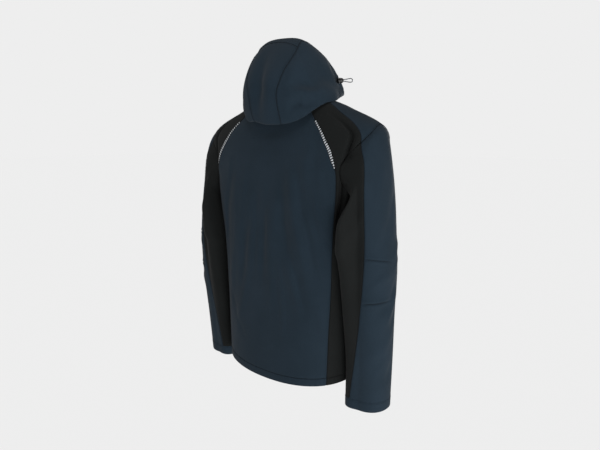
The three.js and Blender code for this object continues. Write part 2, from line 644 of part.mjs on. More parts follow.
function frontPoint(x, place) {
  if (place >= 0) {
    const inset = COLLAR_INSET * (1 - smoothstep(place, 0.15, 0.5));
    const point = onBody(frontTurn(place, x), place).setX(x);
    return point.setY(point.y + inset);
  }
  const turn = 180 - radToDeg(Math.asin(x / COLLAR_TOP.half));
  return onCollar(turn, 1 + place).setX(x);
}
const frontOut = (place) => {
  const step = 0.05;
  const down = frontPoint(0.01, Math.min(place + step, HEM)).sub(frontPoint(0.01, Math.max(place - step, -1)));
  return vec(0, -Math.abs(down.z), down.y * Math.sign(down.z)).normalize();
};

function zipStrip(edges, behind, thick) {
  const face = [];
  const back = [];
  for (const place of zipPlaces) {
    const out = frontOut(place);
    for (const x of edges) {
      const base = frontPoint(Math.max(Math.abs(x), 0.01), place).setX(x);
      face.push(base.clone().addScaledVector(out, -behind));
      back.push(base.clone().addScaledVector(out, -behind - thick));
    }
  }
  return slab(face, back, zipPlaces.length - 1, edges.length - 1);
}

// The slider and its pull tab, drawn flat: across is X, up is up the zip and out is away from it. AXLE is where the
// tab hangs on the slider's bridge.
const SLIDER = { place: -0.72, over: 0.7, width: 6.4, thick: 1.8, up: 8, down: 7 };
const AXLE = { up: 3.4, out: 4.0, radius: 0.9, hole: 1.5 };
const TAB = { width: 10.5, window: 7.6, length: 30, thick: 1.6 };

function addSlider() {
  const base = frontPoint(0.01, SLIDER.place).setX(0);
  const out = frontOut(SLIDER.place);
  const up = vec(1, 0, 0).cross(out).normalize();
  if (up.z < 0) up.negate();
  const placed = new THREE.Matrix4().makeBasis(out, up, vec(0, 0, 0).crossVectors(out, up)).setPosition(base);
  const profile = new THREE.Shape();
  const low = SLIDER.over;
  const high = AXLE.out + AXLE.hole + 1.2;
  profile.moveTo(low, -SLIDER.down);
  profile.lineTo(low + SLIDER.thick, -SLIDER.down);
  profile.lineTo(low + SLIDER.thick, -2);
  profile.lineTo(high, AXLE.up - AXLE.hole - 1);
  profile.lineTo(high, AXLE.up + AXLE.hole + 0.6);
  profile.lineTo(low + SLIDER.thick, SLIDER.up);
  profile.lineTo(low, SLIDER.up);
  profile.closePath();
  const eye = new THREE.Path();
  eye.absarc(AXLE.out, AXLE.up, AXLE.hole, 0, Math.PI * 2, true);
  profile.holes.push(eye);
  const slider = new THREE.ExtrudeGeometry(profile, { depth: SLIDER.width, bevelEnabled: false, curveSegments: 10 });
  slider.translate(0, 0, -SLIDER.width / 2);
  add("zip_slider", slider.applyMatrix4(placed), METAL);

  const half = TAB.width / 2;
  const tab = new THREE.Shape();
  const foot = AXLE.radius - TAB.length;
  tab.moveTo(-half, AXLE.radius);
  tab.lineTo(-half, foot + 3);
  tab.quadraticCurveTo(-half, foot, -half + 3, foot);
  tab.lineTo(half - 3, foot);
  tab.quadraticCurveTo(half, foot, half, foot + 3);
  tab.lineTo(half, AXLE.radius);
  tab.closePath();
  const window = new THREE.Path();
  window.moveTo(-TAB.window / 2, -AXLE.radius);
  window.lineTo(TAB.window / 2, -AXLE.radius);
  window.lineTo(TAB.window / 2, -12);
  window.lineTo(-TAB.window / 2, -12);
  window.closePath();
  tab.holes.push(window);
  const plate = new THREE.ExtrudeGeometry(tab, { depth: TAB.thick, bevelEnabled: false, curveSegments: 4 });
  plate.translate(0, 0, -TAB.thick / 2);
  const hung = new THREE.Matrix4().makeBasis(vec(0, 0, -1), vec(0, 1, 0), vec(1, 0, 0));
  plate.applyMatrix4(hung).translate(AXLE.out, AXLE.up, 0);
  add("zip_pull", plate.applyMatrix4(placed), METAL);
}

function addZip() {
  add("zip_tape_left", zipStrip([0.4, ZIP_HALF, ZIP.tape], ZIP.behind, ZIP.tapeThick), BLACK);
  add("zip_tape_right", zipStrip([-ZIP.tape, -ZIP_HALF, -0.4], ZIP.behind, ZIP.tapeThick), BLACK);
  add("zip_chain", zipStrip([-ZIP.chain, 0, ZIP.chain], ZIP.behind - 0.3 - ZIP.chainThick, ZIP.chainThick), PLASTIC);
  addSlider();
}

// A closed round bar along the points, with flat ends.
function roundBar(points, radius, sides) {
  const rings = points.map((point, i) => {
    const ahead = points[Math.min(i + 1, points.length - 1)];
    const behind = points[Math.max(i - 1, 0)];
    const way = ahead.clone().sub(behind).normalize();
    const first = way.clone().cross(vec(0, 0, 1)).normalize();
    const second = way.clone().cross(first).normalize();
    return stops(0, 360, sides).slice(0, sides).map((a) => point.clone()
      .addScaledVector(first, radius * cos(a)).addScaledVector(second, radius * sin(a)));
  });
  const triangles = [];
  for (let i = 0; i + 1 < rings.length; i++) {
    for (let j = 0; j < sides; j++) {
      const [a, b] = [i * sides + j, i * sides + (j + 1) % sides];
      triangles.push(a, b, b + sides, a, b + sides, a + sides);
    }
  }
  const last = (rings.length - 1) * sides;
  for (let j = 1; j + 1 < sides; j++) triangles.push(0, j + 1, j, last, last + j, last + j + 1);
  return solidFrom(rings.flat(), triangles);
}

// The hood's drawcord comes out through a cord lock at each side of the face, and its end is a loop.
const CORD_LOCK = { over: 0.58, bow: 0.9, radius: 6.5, length: 15, clear: 1.5, way: [0.42, -0.9, 0.06] };
// The loop is a drop: its two strands are a little apart in the lock and open to the round end.
const CORD_LOOP = { radius: 1.25, narrow: 1.9, wide: 4.4, length: 24 };

function addCordEnd(side) {
  const onIt = halfHood[side];
  const out = facing(onIt, CORD_LOCK.over, CORD_LOCK.bow, 0, NAPE);
  const way = vec(...CORD_LOCK.way).normalize();
  const stand = CORD_LOCK.radius + CORD_LOCK.clear + 1.5;
  const middle = onIt(CORD_LOCK.over, CORD_LOCK.bow).addScaledVector(out, stand);
  const [end, start] = [CORD_LOCK.length / 2, -CORD_LOCK.length / 2];
  const barrel = stops(start, end, 4).map((d) => middle.clone().addScaledVector(way, d));
  add(`cord_lock_${side}`, turnedFor[side](roundBar(barrel, CORD_LOCK.radius, 16)), PLASTIC);
  const across = vec(0, 0, 1).addScaledVector(way, -way.z).normalize();
  const apart = (d) => lerp(CORD_LOOP.narrow, CORD_LOOP.wide, smoothstep(d, 0, CORD_LOOP.length));
  const bend = stops(-90, 90, 10).map((a) => [
    CORD_LOOP.length + CORD_LOOP.wide * cos(a),
    CORD_LOOP.wide * sin(a),
  ]);
  const strand = stops(0, CORD_LOOP.length, 6).slice(0, 6);
  const line = [
    ...strand.map((d) => [d, -apart(d)]),
    ...bend,
    ...strand.map((d) => [d, apart(d)]).reverse(),
  ];
  const loop = line.map(([d, aside]) => middle.clone()
    .addScaledVector(way, end + 0.4 + d)
    .addScaledVector(across, aside));
  add(`drawcord_${side}`, turnedFor[side](roundBar(loop, CORD_LOOP.radius, 8)), CORD);
}

addBody();
addCollar();
addHood();
addZip();
for (const side of ["left", "right"]) {
  addSleeve(side);
  addTrim(side);
  addCordEnd(side);
}

export default jacket;
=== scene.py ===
# A hooded softshell work jacket in its worn shape, with nobody in it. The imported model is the
# fixed frame, and every cloth panel here is a finer shell on the same form as its solid, with its
# folds, turned edges and stitching. Forms are worked out in mm, and meshes are made in metres.
import math

import bpy
import numpy as np
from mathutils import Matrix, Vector


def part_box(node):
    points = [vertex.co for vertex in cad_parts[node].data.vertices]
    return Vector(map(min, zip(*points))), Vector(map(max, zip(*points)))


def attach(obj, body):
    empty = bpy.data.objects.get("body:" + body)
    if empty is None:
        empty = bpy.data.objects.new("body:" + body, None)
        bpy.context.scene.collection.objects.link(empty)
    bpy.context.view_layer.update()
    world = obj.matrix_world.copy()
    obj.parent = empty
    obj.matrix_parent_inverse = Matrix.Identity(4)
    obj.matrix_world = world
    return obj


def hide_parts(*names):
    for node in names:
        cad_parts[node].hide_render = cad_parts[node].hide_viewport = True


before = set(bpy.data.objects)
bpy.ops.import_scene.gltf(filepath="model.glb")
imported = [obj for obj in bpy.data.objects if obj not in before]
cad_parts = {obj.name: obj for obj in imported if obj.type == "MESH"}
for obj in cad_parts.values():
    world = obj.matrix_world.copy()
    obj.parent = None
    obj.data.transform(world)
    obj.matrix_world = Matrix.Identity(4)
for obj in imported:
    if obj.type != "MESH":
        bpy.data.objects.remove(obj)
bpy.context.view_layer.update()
MM = 0.001
SIDES = (("left", 1), ("right", -1))  # each side's name and the sign of its x


# Camera. It stands behind the jacket and to the wearer's right, a little above the chest, as the
# photographer did. The lens is a moderate wide angle, and the jacket fills most of the frame's
# height.
CAMERA_TURN = 217.5  # degrees round from the front
CAMERA_RISE = 10.0  # degrees above the horizon
CAMERA_AWAY = 1.385
CAMERA_ASIDE = 0.0098
AIM_HEIGHT = -0.3157
LENS = 31.2
SENSOR_WIDTH = 36


def direction(turn, rise):
    """The unit vector at a turn round from the front and a rise, both in degrees."""
    turn, rise = math.radians(turn), math.radians(rise)
    level = math.cos(rise)
    return Vector((math.sin(turn) * level, -math.cos(turn) * level, math.sin(rise)))


def add_object(name, data):
    made = bpy.data.objects.new(name, data)
    bpy.context.scene.collection.objects.link(made)
    return made


away = direction(CAMERA_TURN, CAMERA_RISE)
aside = Vector((0, 0, 1)).cross(away).normalized()
lens = bpy.data.cameras.new("camera")
lens.lens = LENS
lens.sensor_width = SENSOR_WIDTH
camera = add_object("camera", lens)
camera.location = Vector((0, 0, AIM_HEIGHT)) + away * CAMERA_AWAY + aside * CAMERA_ASIDE
camera.rotation_euler = (-away).to_track_quat("-Z", "Y").to_euler()
bpy.context.scene.camera = camera


# The hood's drawcord. It is an elastic braided cord that runs in the tunnel round the face opening.
# At each side it comes out through a cord lock, and its end is a short loop: dark navy yarn with
# single pale flecks.
CORD_WIDTH = 2.5  # mm, as all lengths here
CORD_WAY = Vector((0.42, -0.9, 0.06)).normalized()  # the way the left cord leaves its lock
CORD_SIDES = 16
LOCK_LENGTH = 15
LOCK_RADIUS = 6.5
LOCK_SIDES = 40
LOCK_GROOVES = 3
GROOVE_START = 3.2
GROOVE_PITCH = 1.7
GROOVE_DEPTH = 0.5
LOOP_GAP = 0.4
LOOP_NARROW = 1.9  # half the loop's width at the lock, and then at its far end
LOOP_WIDE = 4.4
LOOP_LENGTH = 24
BRAID_PITCH = 3.4


def linear(colour):
    """An sRGB hex colour as the linear colour that the shaders take."""
    values = [int(colour[i : i + 2], 16) / 255 for i in (1, 3, 5)]
    return [v / 12.92 if v <= 0.04045 else ((v + 0.055) / 1.055) ** 2.4 for v in values] + [1.0]


def add_node(tree, kind, inputs=None, **settings):
    """Adds a shader node. Each input is a value, an output, or a node for its first output."""
    made = tree.nodes.new("ShaderNode" + kind)
    for name, value in settings.items():
        setattr(made, name, value)
    for name, value in (inputs or {}).items():
        if isinstance(value, bpy.types.Node):
            value = value.outputs[0]
        if isinstance(value, bpy.types.NodeSocket):
            tree.links.new(value, made.inputs[name])
        else:
            made.inputs[name].default_value = value
    return made


def new_material(name):
    material = bpy.data.materials.new(name)
    material.use_nodes = True
    material.node_tree.nodes.clear()
    return material, material.node_tree


def smooth(x, low, high):
    """0 below low and 1 above high, with a soft step between."""
    t = np.clip((x - low) / (high - low), 0, 1)
    return t * t * (3 - 2 * t)


def hump(x, at, width):
    """A soft hump that is 1 at a place and fades out over a width."""
    return np.exp(-(((x - at) / width) ** 2))


def mesh_piece(name, points, faces, materials, slots=None, uv=None, values=None):
    """A smooth mesh from points in mm.

    slots gives each face its material, and uv and values go with the points.
    """
    mesh = bpy.data.meshes.new(name)
    mesh.from_pydata((np.asarray(points) * MM).tolist(), [], [list(face) for face in faces])
    for material in materials:
        mesh.materials.append(material)
    mesh.polygons.foreach_set("use_smooth", np.ones(len(mesh.polygons), bool))
    if slots is not None:
        mesh.polygons.foreach_set("material_index", np.asarray(slots, np.int32))
    if uv is not None:
        corners = np.empty(len(mesh.loops), np.int32)
        mesh.loops.foreach_get("vertex_index", corners)
        layer = mesh.uv_layers.new(name="cut")
        layer.data.foreach_set("uv", np.asarray(uv, np.float32)[corners].ravel())
    for key, numbers in (values or {}).items():
        attribute = mesh.attributes.new(key, "FLOAT", "POINT")
        attribute.data.foreach_set("value", np.asarray(numbers, np.float32))
    mesh.update()
    return add_object(name, mesh)


def settle(piece, node=None):
    """Fixes a piece to the jacket and hides the solid that it stands in for."""
    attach(piece, "jacket")
    if node:
        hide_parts(node)


def ring_faces(rings, sides):
    """The quads between closed rings of points, then a face over each end."""
    rows = np.arange(rings - 1)[:, None] * sides
    column = np.arange(sides)[None, :]
    ahead = (column + 1) % sides
    corners = [rows + column, rows + ahead, rows + sides + ahead, rows + sides + column]
    ends = [list(range(sides))[::-1], list(range((rings - 1) * sides, rings * sides))]
    return np.stack(corners, -1).reshape(-1, 4).tolist() + ends


def tube(points, radius, sides, twist=0.0, lobes=0, lobe_depth=0.0):
    """Rings round a line in mm, as points, faces and UV. twist turns the lobes, per mm."""
    points = np.asarray(points, float)
    way = np.gradient(points, axis=0)
    way /= np.linalg.norm(way, axis=1)[:, None]
    first = np.cross(way, (0, 0, 1.0))
    first /= np.linalg.norm(first, axis=1)[:, None]
    second = np.cross(way, first)
    run = np.concatenate([[0], np.cumsum(np.linalg.norm(np.diff(points, axis=0), axis=1))])
    around = np.linspace(0, 2 * np.pi, sides, endpoint=False)
    angle = around[None, :] + 0 * run[:, None]
    lobed = 1 + lobe_depth * np.cos(lobes * (angle + twist * run[:, None]))
    size = np.broadcast_to(radius, run.shape)[:, None] * lobed
    rings = points[:, None] + size[..., None] * (
        np.cos(angle)[..., None] * first[:, None] + np.sin(angle)[..., None] * second[:, None]
    )
    uv = np.stack([angle / (2 * np.pi), np.broadcast_to(run[:, None], angle.shape)], -1)
    return rings.reshape(-1, 3), ring_faces(len(points), sides), uv.reshape(-1, 2)


# Braided polyester cord: fine dark yarns with a pale tracer yarn, so it shows as dark with regular
# light flecks.
def braided_cord():
    material, tree = new_material("braided_polyester_cord")
    uv = add_node(tree, "UVMap", uv_map="cut")
    split = add_node(tree, "SeparateXYZ", {"Vector": uv})
    twist = add_node(
        tree, "Math", {0: split.outputs["Y"], 1: 1 / BRAID_PITCH}, operation="MULTIPLY"
    )
    lead = add_node(tree, "Math", {0: split.outputs["X"], 1: twist}, operation="ADD")
    phase = add_node(tree, "Math", {0: lead, 1: 4 * math.pi}, operation="MULTIPLY")
    wave = add_node(tree, "Math", {0: phase}, operation="SINE")
    counter = add_node(tree, "Math", {0: split.outputs["X"], 1: twist}, operation="SUBTRACT")
    other = add_node(tree, "Math", {0: counter, 1: 4 * math.pi}, operation="MULTIPLY")
    crossing = add_node(tree, "Math", {0: other}, operation="SINE")
    braid = add_node(tree, "Math", {0: wave, 1: crossing}, operation="MULTIPLY")
    fleck = add_node(tree, "Math", {0: braid, 1: 0.55}, operation="GREATER_THAN")
    colour = add_node(
        tree,
        "Mix",
        {"Factor": fleck, "A": linear("#0F131A"), "B": linear("#B9BEC4")},
        data_type="RGBA",
    )
    bump = add_node(tree, "Bump", {"Height": braid, "Strength": 0.6, "Distance": 0.0004})
    surface = add_node(
        tree,
        "BsdfPrincipled",
        {
            "Base Color": colour.outputs["Result"],
            "Roughness": 0.75,
            "Sheen Weight": 0.2,
            "Normal": bump,
        },
    )
    add_node(tree, "OutputMaterial", {"Surface": surface})
    return material


# Moulded acetal, as cord locks and zip coils are made of: black, with a soft satin shine and a
# faint moulding grain.
def moulded_acetal():
    material, tree = new_material("moulded_black_acetal")
    place = add_node(tree, "TexCoord")
    grain = add_node(
        tree, "TexNoise", {"Vector": place.outputs["Object"], "Scale": 1500.0, "Detail": 3.0}
    )
    tone = add_node(
        tree,
        "Mix",
        {"Factor": grain.outputs["Fac"], "A": linear("#08090A"), "B": linear("#101214")},
        data_type="RGBA",
    )
    bump = add_node(
        tree, "Bump", {"Height": grain.outputs["Fac"], "Strength": 0.15, "Distance": 0.0002}
    )
    surface = add_node(
        tree,
        "BsdfPrincipled",
        {"Base Color": tone.outputs["Result"], "Roughness": 0.42, "IOR": 1.48, "Normal": bump},
    )
    add_node(tree, "OutputMaterial", {"Surface": surface})
    return material


CORD = braided_cord()
ACETAL = moulded_acetal()


def lathe(profile, centre, way, sides):
    """A round solid from (along, radius) steps in mm, about a line through centre."""
    way = np.asarray(way, float)
    first = np.cross(way, (0, 0, 1.0))
    first /= np.linalg.norm(first)
    second = np.cross(way, first)
    around = np.linspace(0, 2 * np.pi, sides, endpoint=False)
    spoke = np.cos(around)[:, None] * first + np.sin(around)[:, None] * second
    rings = np.array([centre + along * way + radius * spoke for along, radius in profile])
    return rings.reshape(-1, 3), ring_faces(len(profile), sides)


for side, sign in SIDES:
    low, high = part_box(f"cord_lock_{side}")
    middle = np.array((low + high) / 2) / MM
    way = np.array((CORD_WAY.x * sign, CORD_WAY.y, CORD_WAY.z))
    up = np.array((0, 0, 1.0)) - way * way[2]
    up /= np.linalg.norm(up)

    half = LOCK_LENGTH / 2
    shell = [(-half + 0.1, 4.6), (-half + 0.1, 5.4), (-half + 0.9, 6.1), (-half + 2.0, LOCK_RADIUS)]
    for groove in range(LOCK_GROOVES):
        at = -half + GROOVE_START + groove * GROOVE_PITCH
        low_radius = LOCK_RADIUS - GROOVE_DEPTH
        shell += [(at, LOCK_RADIUS), (at + 0.3, low_radius)]
        shell += [(at + 0.8, low_radius), (at + 1.1, LOCK_RADIUS)]
    shell += [(half - 4.2, LOCK_RADIUS), (half - 3.6, 6.0), (half - 3.4, 5.0), (half - 3.0, 5.0)]
    shell += [(half - 2.8, 5.8), (half - 1.0, 5.8), (half - 0.4, 5.4), (half - 0.1, 4.6)]
    points, faces = lathe(shell, middle, way, LOCK_SIDES)
    lock = mesh_piece(f"toggle_{side}", points, faces, [ACETAL])
    settle(lock, f"cord_lock_{side}")

    run = np.linspace(0, LOOP_LENGTH, 28)[:-1]
    apart = LOOP_NARROW + (LOOP_WIDE - LOOP_NARROW) * smooth(run, 0, LOOP_LENGTH)
    bend = np.radians(np.linspace(-90, 90, 25))
    line = np.concatenate(
        [
            np.stack([run, -apart], 1),
            np.stack([LOOP_LENGTH + LOOP_WIDE * np.cos(bend), LOOP_WIDE * np.sin(bend)], 1),
            np.stack([run, apart], 1)[::-1],
        ]
    )
    start = middle + way * (half + LOOP_GAP)
    route = start + line[:, :1] * way + line[:, 1:] * up
    twist = np.pi / BRAID_PITCH
    points, faces, uv = tube(route, CORD_WIDTH / 2 * 0.97, CORD_SIDES, twist, 2, 0.05)
    loop = mesh_piece(f"cord_loop_{side}", points, faces, [CORD], uv=uv)
    settle(loop, f"drawcord_{side}")


# The back. One large panel of navy softshell, a woven polyester face bonded to fleece, cut to the
# two curved back seams and turned up at the hem. It hangs straight from the shoulder blades, and
# wearing has left long soft folds.
CLOTH = 2.0
CURL = 3  # steps round each rounded edge
# The threads' spacing in mm. The real weave of 0.3 mm is too fine to show, so it is drawn coarser.
FACE_THREAD = 1.1
BODY_COLUMNS = ("half", "rear", "fore", "side", "back", "front", "square_rear", "square_fore")
BODY_RINGS = {
    "neck seam": (90, 70, 98, 12, 10, -56, 2.2, 2.3),
    "shoulder": (160, 90, 110, -14, -42, -108, 2.5, 2.4),
    "cap": (260, 106, 118, -72, -98, -160, 2.7, 2.1),
    "armhole": (228, 116, 124, -152, -170, -205, 3.6, 2.8),
    "underarm": (218, 122, 128, -248, -252, -265, 3.3, 2.8),
    "chest": (208, 122, 128, -340, -345, -345, 3.0, 2.7),
    "waist": (204, 118, 124, -480, -490, -480, 2.9, 2.6),
    "hip": (199, 123, 126, -597, -608, -596, 2.75, 2.5),
    "hem": (196, 128, 128, -678, -700, -674, 2.6, 2.5),
}
HEM = len(BODY_RINGS) - 1
BODY_SCALE = (3.4, 105)  # mm for a degree of turn, and for a level
SHARE_SCALE = 100  # a form of a larger scale is measured across in shares, not in degrees
# Each crease runs through places on the body, (turn, level), and has a height and a half width.
BODY_CREASES = (
    (((24, 3.2), (30, 4.95), (42, 6.4)), 5, 14),
    (((17, 4.4), (24, 5.8)), -3, 12),
    (((11, 4.4), (18, 5.5), (33, 6.9)), 3, 13),
    (((2, 4.1), (4, 5.6)), -4, 13),
    (((-7, 3.8), (-3.4, 5.5), (-2, 6.3)), 3, 13),
    (((-12, 4.0), (-16, 5.4)), -3, 13),
    (((-17, 2.7), (-23, 4.4), (-31, 5.5)), 5, 14),
    (((-23, 2.9), (-29, 4.1), (-37, 5.5)), -6, 13),
    (((-22, 2.2), (-31, 3.5), (-41, 4.6)), 4, 12),
    (((-28, 1.6), (-31, 2.6), (-39, 3.3)), -3, 13),
    (((-15, 5.2), (-32, 6.4)), 3, 12),
    (((-24, 5.4), (-31, 6.4)), -3, 11),
    (((104, 4.4), (110, 6.9)), 4, 18),
    (((128, 2.6), (116, 4.4)), -5, 18),
    (((134, 2.2), (150, 4.9)), 5, 19),
    (((146, 3.6), (140, 5.8)), -4, 17),
    (((160, 2.4), (156, 4.4)), -3, 16),
    (((-105, 4.2), (-112, 6.4)), 4, 18),
    (((-124, 2.4), (-118, 4.8)), -5, 19),
    (((-138, 2.8), (-146, 5.2)), 5, 18),
    (((-152, 4.2), (-146, 6.6)), -4, 17),
    (((-158, 2.2), (-160, 4.0)), -3, 16),
)
# The finer creases between the main ones, which the solids leave out, and what deepens the main
# ones.
BODY_FINE = (
    (((-52, 1.4), (-50, 1.9), (-48, 2.35), (-50, 3.0), (-52, 3.7), (-51, 4.5)), -16, 5),
    (((-57, 1.6), (-53, 2.3), (-55, 3.1), (-58, 3.8)), 3, 9),
    (((52, 1.5), (49, 1.9), (46, 2.4), (49, 3.1), (51, 3.8)), -7, 6),
    (((57, 1.7), (54, 2.5), (57, 3.4)), 2.5, 9),
    (((-23, 2.75), (-26, 3.4), (-30, 4.13), (-36, 4.9)), 2.6, 9),
    (((-29, 3.0), (-33, 3.8), (-38, 4.6), (-42, 5.2)), -3, 8),
    (((-33, 2.6), (-38, 3.5), (-46, 4.5)), 2.4, 8),
    (((-12, 3.2), (-14, 4.4), (-19, 5.4)), -2.4, 10),
    (((-2, 3.6), (-1, 4.8), (2, 5.8)), 2, 9),
    (((8, 3.4), (9, 4.4), (11, 5.4)), -2.4, 10),
    (((18, 3.0), (21, 4.2), (27, 5.4), (31, 6.2)), 2.4, 10),
    (((29, 3.0), (36, 4.2), (41, 5.2)), -2.6, 10),
    (((38, 2.4), (45, 3.2)), 2, 9),
    (((0, 0.9), (0, 1.8)), -3, 40),
    (((36, 3.9), (40, 4.6), (44, 5.3)), -1.6, 7),
    (((30, 2.6), (34, 3.7)), 1.2, 7),
    (((27, 4.0), (31, 4.9), (35, 5.5)), -1.4, 6),
    (((14, 3.7), (19, 4.8)), 1.1, 7),
    (((7, 4.6), (9, 5.7)), 1.2, 7),
    (((-2, 3.4), (-1, 4.3)), -1.1, 7),
    (((-9, 5.2), (-13, 6.1), (-14, 6.8)), 1.3, 7),
    (((-19, 5.1), (-27, 5.9)), -1.5, 6),
    (((-26, 3.6), (-31, 4.3), (-35, 4.7)), 1.6, 6),
    (((-33, 4.9), (-40, 5.3), (-45, 5.5)), 1.7, 6),
    (((-40, 4.6), (-47, 5.0)), -1.8, 7),
    (((-36, 3.9), (-44, 4.2)), -1.5, 6),
    (((-20, 1.9), (-24, 2.5)), -1.2, 8),
    (((40, 5.9), (33, 6.6), (22, 7.1)), -1.2, 8),
    (((-38, 6.0), (-44, 6.5)), 1.2, 7),
    (((-8, 6.9), (6, 7.2)), 0.8, 9),
    (((122, 5.2), (132, 6.2)), 1.6, 9),
    (((138, 1.6), (128, 2.2)), -1.6, 9),
    (((-130, 5.4), (-121, 6.3)), 1.6, 9),
    (((-140, 1.7), (-129, 2.3)), -1.6, 9),
    (((168, 3.2), (166, 5.0)), 1.2, 8),
    (((-168, 4.1), (-166, 5.9)), 1.2, 8),
)


def smooth_line(stations, where):
    """Points on smooth centripetal lines. stations is (count, n, 3), and where counts them."""
    last = len(stations) - 1
    where = np.clip(where, 0, last)
    row = np.minimum(where.astype(int), last - 1)
    w = (where - row)[:, None]
    ends = 2 * stations[0] - stations[1], 2 * stations[-1] - stations[-2]
    padded = np.concatenate([[ends[0]], stations, [ends[1]]])
    each = np.arange(len(where))
    x0, x1, x2, x3 = (padded[row + k, each] for k in range(4))
    pairs = ((x0, x1), (x1, x2), (x2, x3))
    dt0, dt1, dt2 = (((b - a) ** 2).sum(1)[:, None] ** 0.25 for a, b in pairs)
    dt1 = np.where(dt1 < 1e-4, 1, dt1)
    dt0 = np.where(dt0 < 1e-4, dt1, dt0)
    dt2 = np.where(dt2 < 1e-4, dt1, dt2)
    t1 = ((x1 - x0) / dt0 - (x2 - x0) / (dt0 + dt1) + (x2 - x1) / dt1) * dt1
    t2 = ((x2 - x1) / dt1 - (x3 - x1) / (dt1 + dt2) + (x3 - x2) / dt2) * dt1
    return x1 + t1 * w + (3 * (x2 - x1) - 2 * t1 - t2) * w**2 + (2 * (x1 - x2) + t1 + t2) * w**3


def along(values, where):
    """A number that changes smoothly along a list: where 3.5 is halfway from entry 3 to entry 4."""
    values = np.asarray(values, float)
    last = len(values) - 1
    row = np.clip(np.floor(where).astype(int), 0, last - 1)
    t = np.clip(where - row, 0, 1)
    a, b, c, d = (values[np.clip(row + k, 0, last)] for k in (-1, 0, 1, 2))
    return b + 0.5 * t * (c - a + t * (2 * a - 5 * b + 4 * c - d + t * (3 * (b - c) + d - a)))


def box_reach(angle, square):
    """How far a rounded box reaches: square is 2 for an ellipse, and more for squarer corners."""
    return (np.abs(np.sin(angle)) ** square + np.abs(np.cos(angle)) ** square) ** (-1 / square)


def crease_height(creases, scale, u, v):
    """The height in mm that creases give to places, fading out to their ends and sides."""
    height = np.zeros(np.shape(u))
    for places, tall, width in creases:
        line = np.array(places, float) * scale
        joints = np.concatenate([[0], np.cumsum(np.linalg.norm(np.diff(line, axis=0), axis=1))])
        nearest = np.full(np.shape(u), np.inf)
        down = np.zeros(np.shape(u))
        for k in range(len(line) - 1):
            step = line[k + 1] - line[k]
            length = np.hypot(*step)
            off_u = u - places[k][0]
            if scale[0] < SHARE_SCALE:
                off_u = off_u - 360 * np.round(off_u / 360)
            off_u = off_u * scale[0]
            off_v = (v - places[k][1]) * scale[1]
            run = (off_u * step[0] + off_v * step[1]) / length
            aside = np.abs(off_u * step[1] - off_v * step[0]) / length
            beyond = np.maximum(-run if k else 0 * run, 0)
            beyond = np.maximum(beyond, run - length if k < len(line) - 2 else 0 * run)
            distance = np.hypot(aside, beyond)
            closer = distance < nearest
            nearest = np.where(closer, distance, nearest)
            down = np.where(closer, (joints[k] + run) / joints[-1], down)
        taper = smooth(down, -0.15, 0.3) * (1 - smooth(down, 0.7, 1.15))
        height = height + tall * taper * hump(nearest, 0, width)
    return height


def facing(form, u, v, least, most):
    """The outward direction of a form: across, then down, turns outwards."""
    step = 0.01
    across = form(u + step, v) - form(u - step, v)
    down = form(u, np.minimum(v + step, most)) - form(u, np.maximum(v - step, least))
    out = np.cross(across, down)
    return out / np.maximum(np.linalg.norm(out, axis=-1, keepdims=True), 1e-12)


def body_ring(ring, turn):
    angle = np.radians(turn)
    behind = np.cos(angle) > 0
    reach = box_reach(angle, np.where(behind, ring["square_rear"], ring["square_fore"]))
    depth = np.where(behind, ring["rear"], ring["fore"])
    end = np.where(behind, ring["back"], ring["front"])
    height = ring["side"] + (end - ring["side"]) * np.cos(angle) ** 2
    x, y = ring["half"] * reach * np.sin(angle), depth * reach * np.cos(angle)
    return np.stack([x, y, height], -1)


body_rings = [dict(zip(BODY_COLUMNS, row)) for row in BODY_RINGS.values()]


def smooth_body(turn, level):
    """turn goes from 0 at the centre back to 180 at the front, and level counts the rings."""
    shape = np.broadcast(turn, level).shape
    turn, level = (np.broadcast_to(x, shape).ravel() for x in (turn, level))
    stations = np.array([body_ring(ring, turn) for ring in body_rings])
    return smooth_line(stations, level).reshape(shape + (3,))


def on_body(turn, level):
    height = crease_height(BODY_CREASES, BODY_SCALE, turn, level)
    height = height + crease_height(BODY_FINE, BODY_SCALE, turn, level)
    return smooth_body(turn, level) + facing(smooth_body, turn, level, 0, HEM) * height[..., None]


def one_half(form, sign):
    """A form as one half sees it: the right half turned over onto the left."""
    return lambda u, v: form(sign * u, v) * (sign, 1, 1)


def lengths(points):
    step = np.linalg.norm(np.diff(points, axis=0), axis=-1)
    return np.concatenate([np.zeros((1,) + step.shape[1:]), np.cumsum(step, axis=0)])


# How far a panel's lines are from each kind of edge, in mm: a seam, a plain folded edge, an edge
# hidden under another panel, and a turned-up hem.
SEAM_LINES = (0, 0.8, 1.6, 2.6, 4.0, 6.0)
FOLD_LINES = (0, 1.2, 3.0, 6.0)
HEM_DEPTH = 18.5
HEM_STITCH_LINES = tuple(HEM_DEPTH + k for k in (-1.8, -0.9, 0, 0.9, 1.8))
HEM_LINES = (0, 1.2, 4, 8, 12, 15) + HEM_STITCH_LINES + (23, 27)
EDGE_LINES = {
    "seam": SEAM_LINES,
    "fold": FOLD_LINES,
    "under": FOLD_LINES,
    "hem": HEM_LINES,
    None: (0,),
}
ALL_SEAMS = ("seam", "seam", "seam", "seam")  # an edge each: left, right, top and bottom
SEAMS_AND_HEM = ("seam", "seam", "seam", "hem")


def spaced(total, step, start, end):
    """Distances from 0 to total, close together near both ends and even between them."""
    first, last = np.array(start, float), total - np.array(end[::-1], float)
    count = max(2, round((last[0] - first[-1]) / step))
    return np.concatenate([first, np.linspace(first[-1], last[0], count + 1)[1:-1], last])


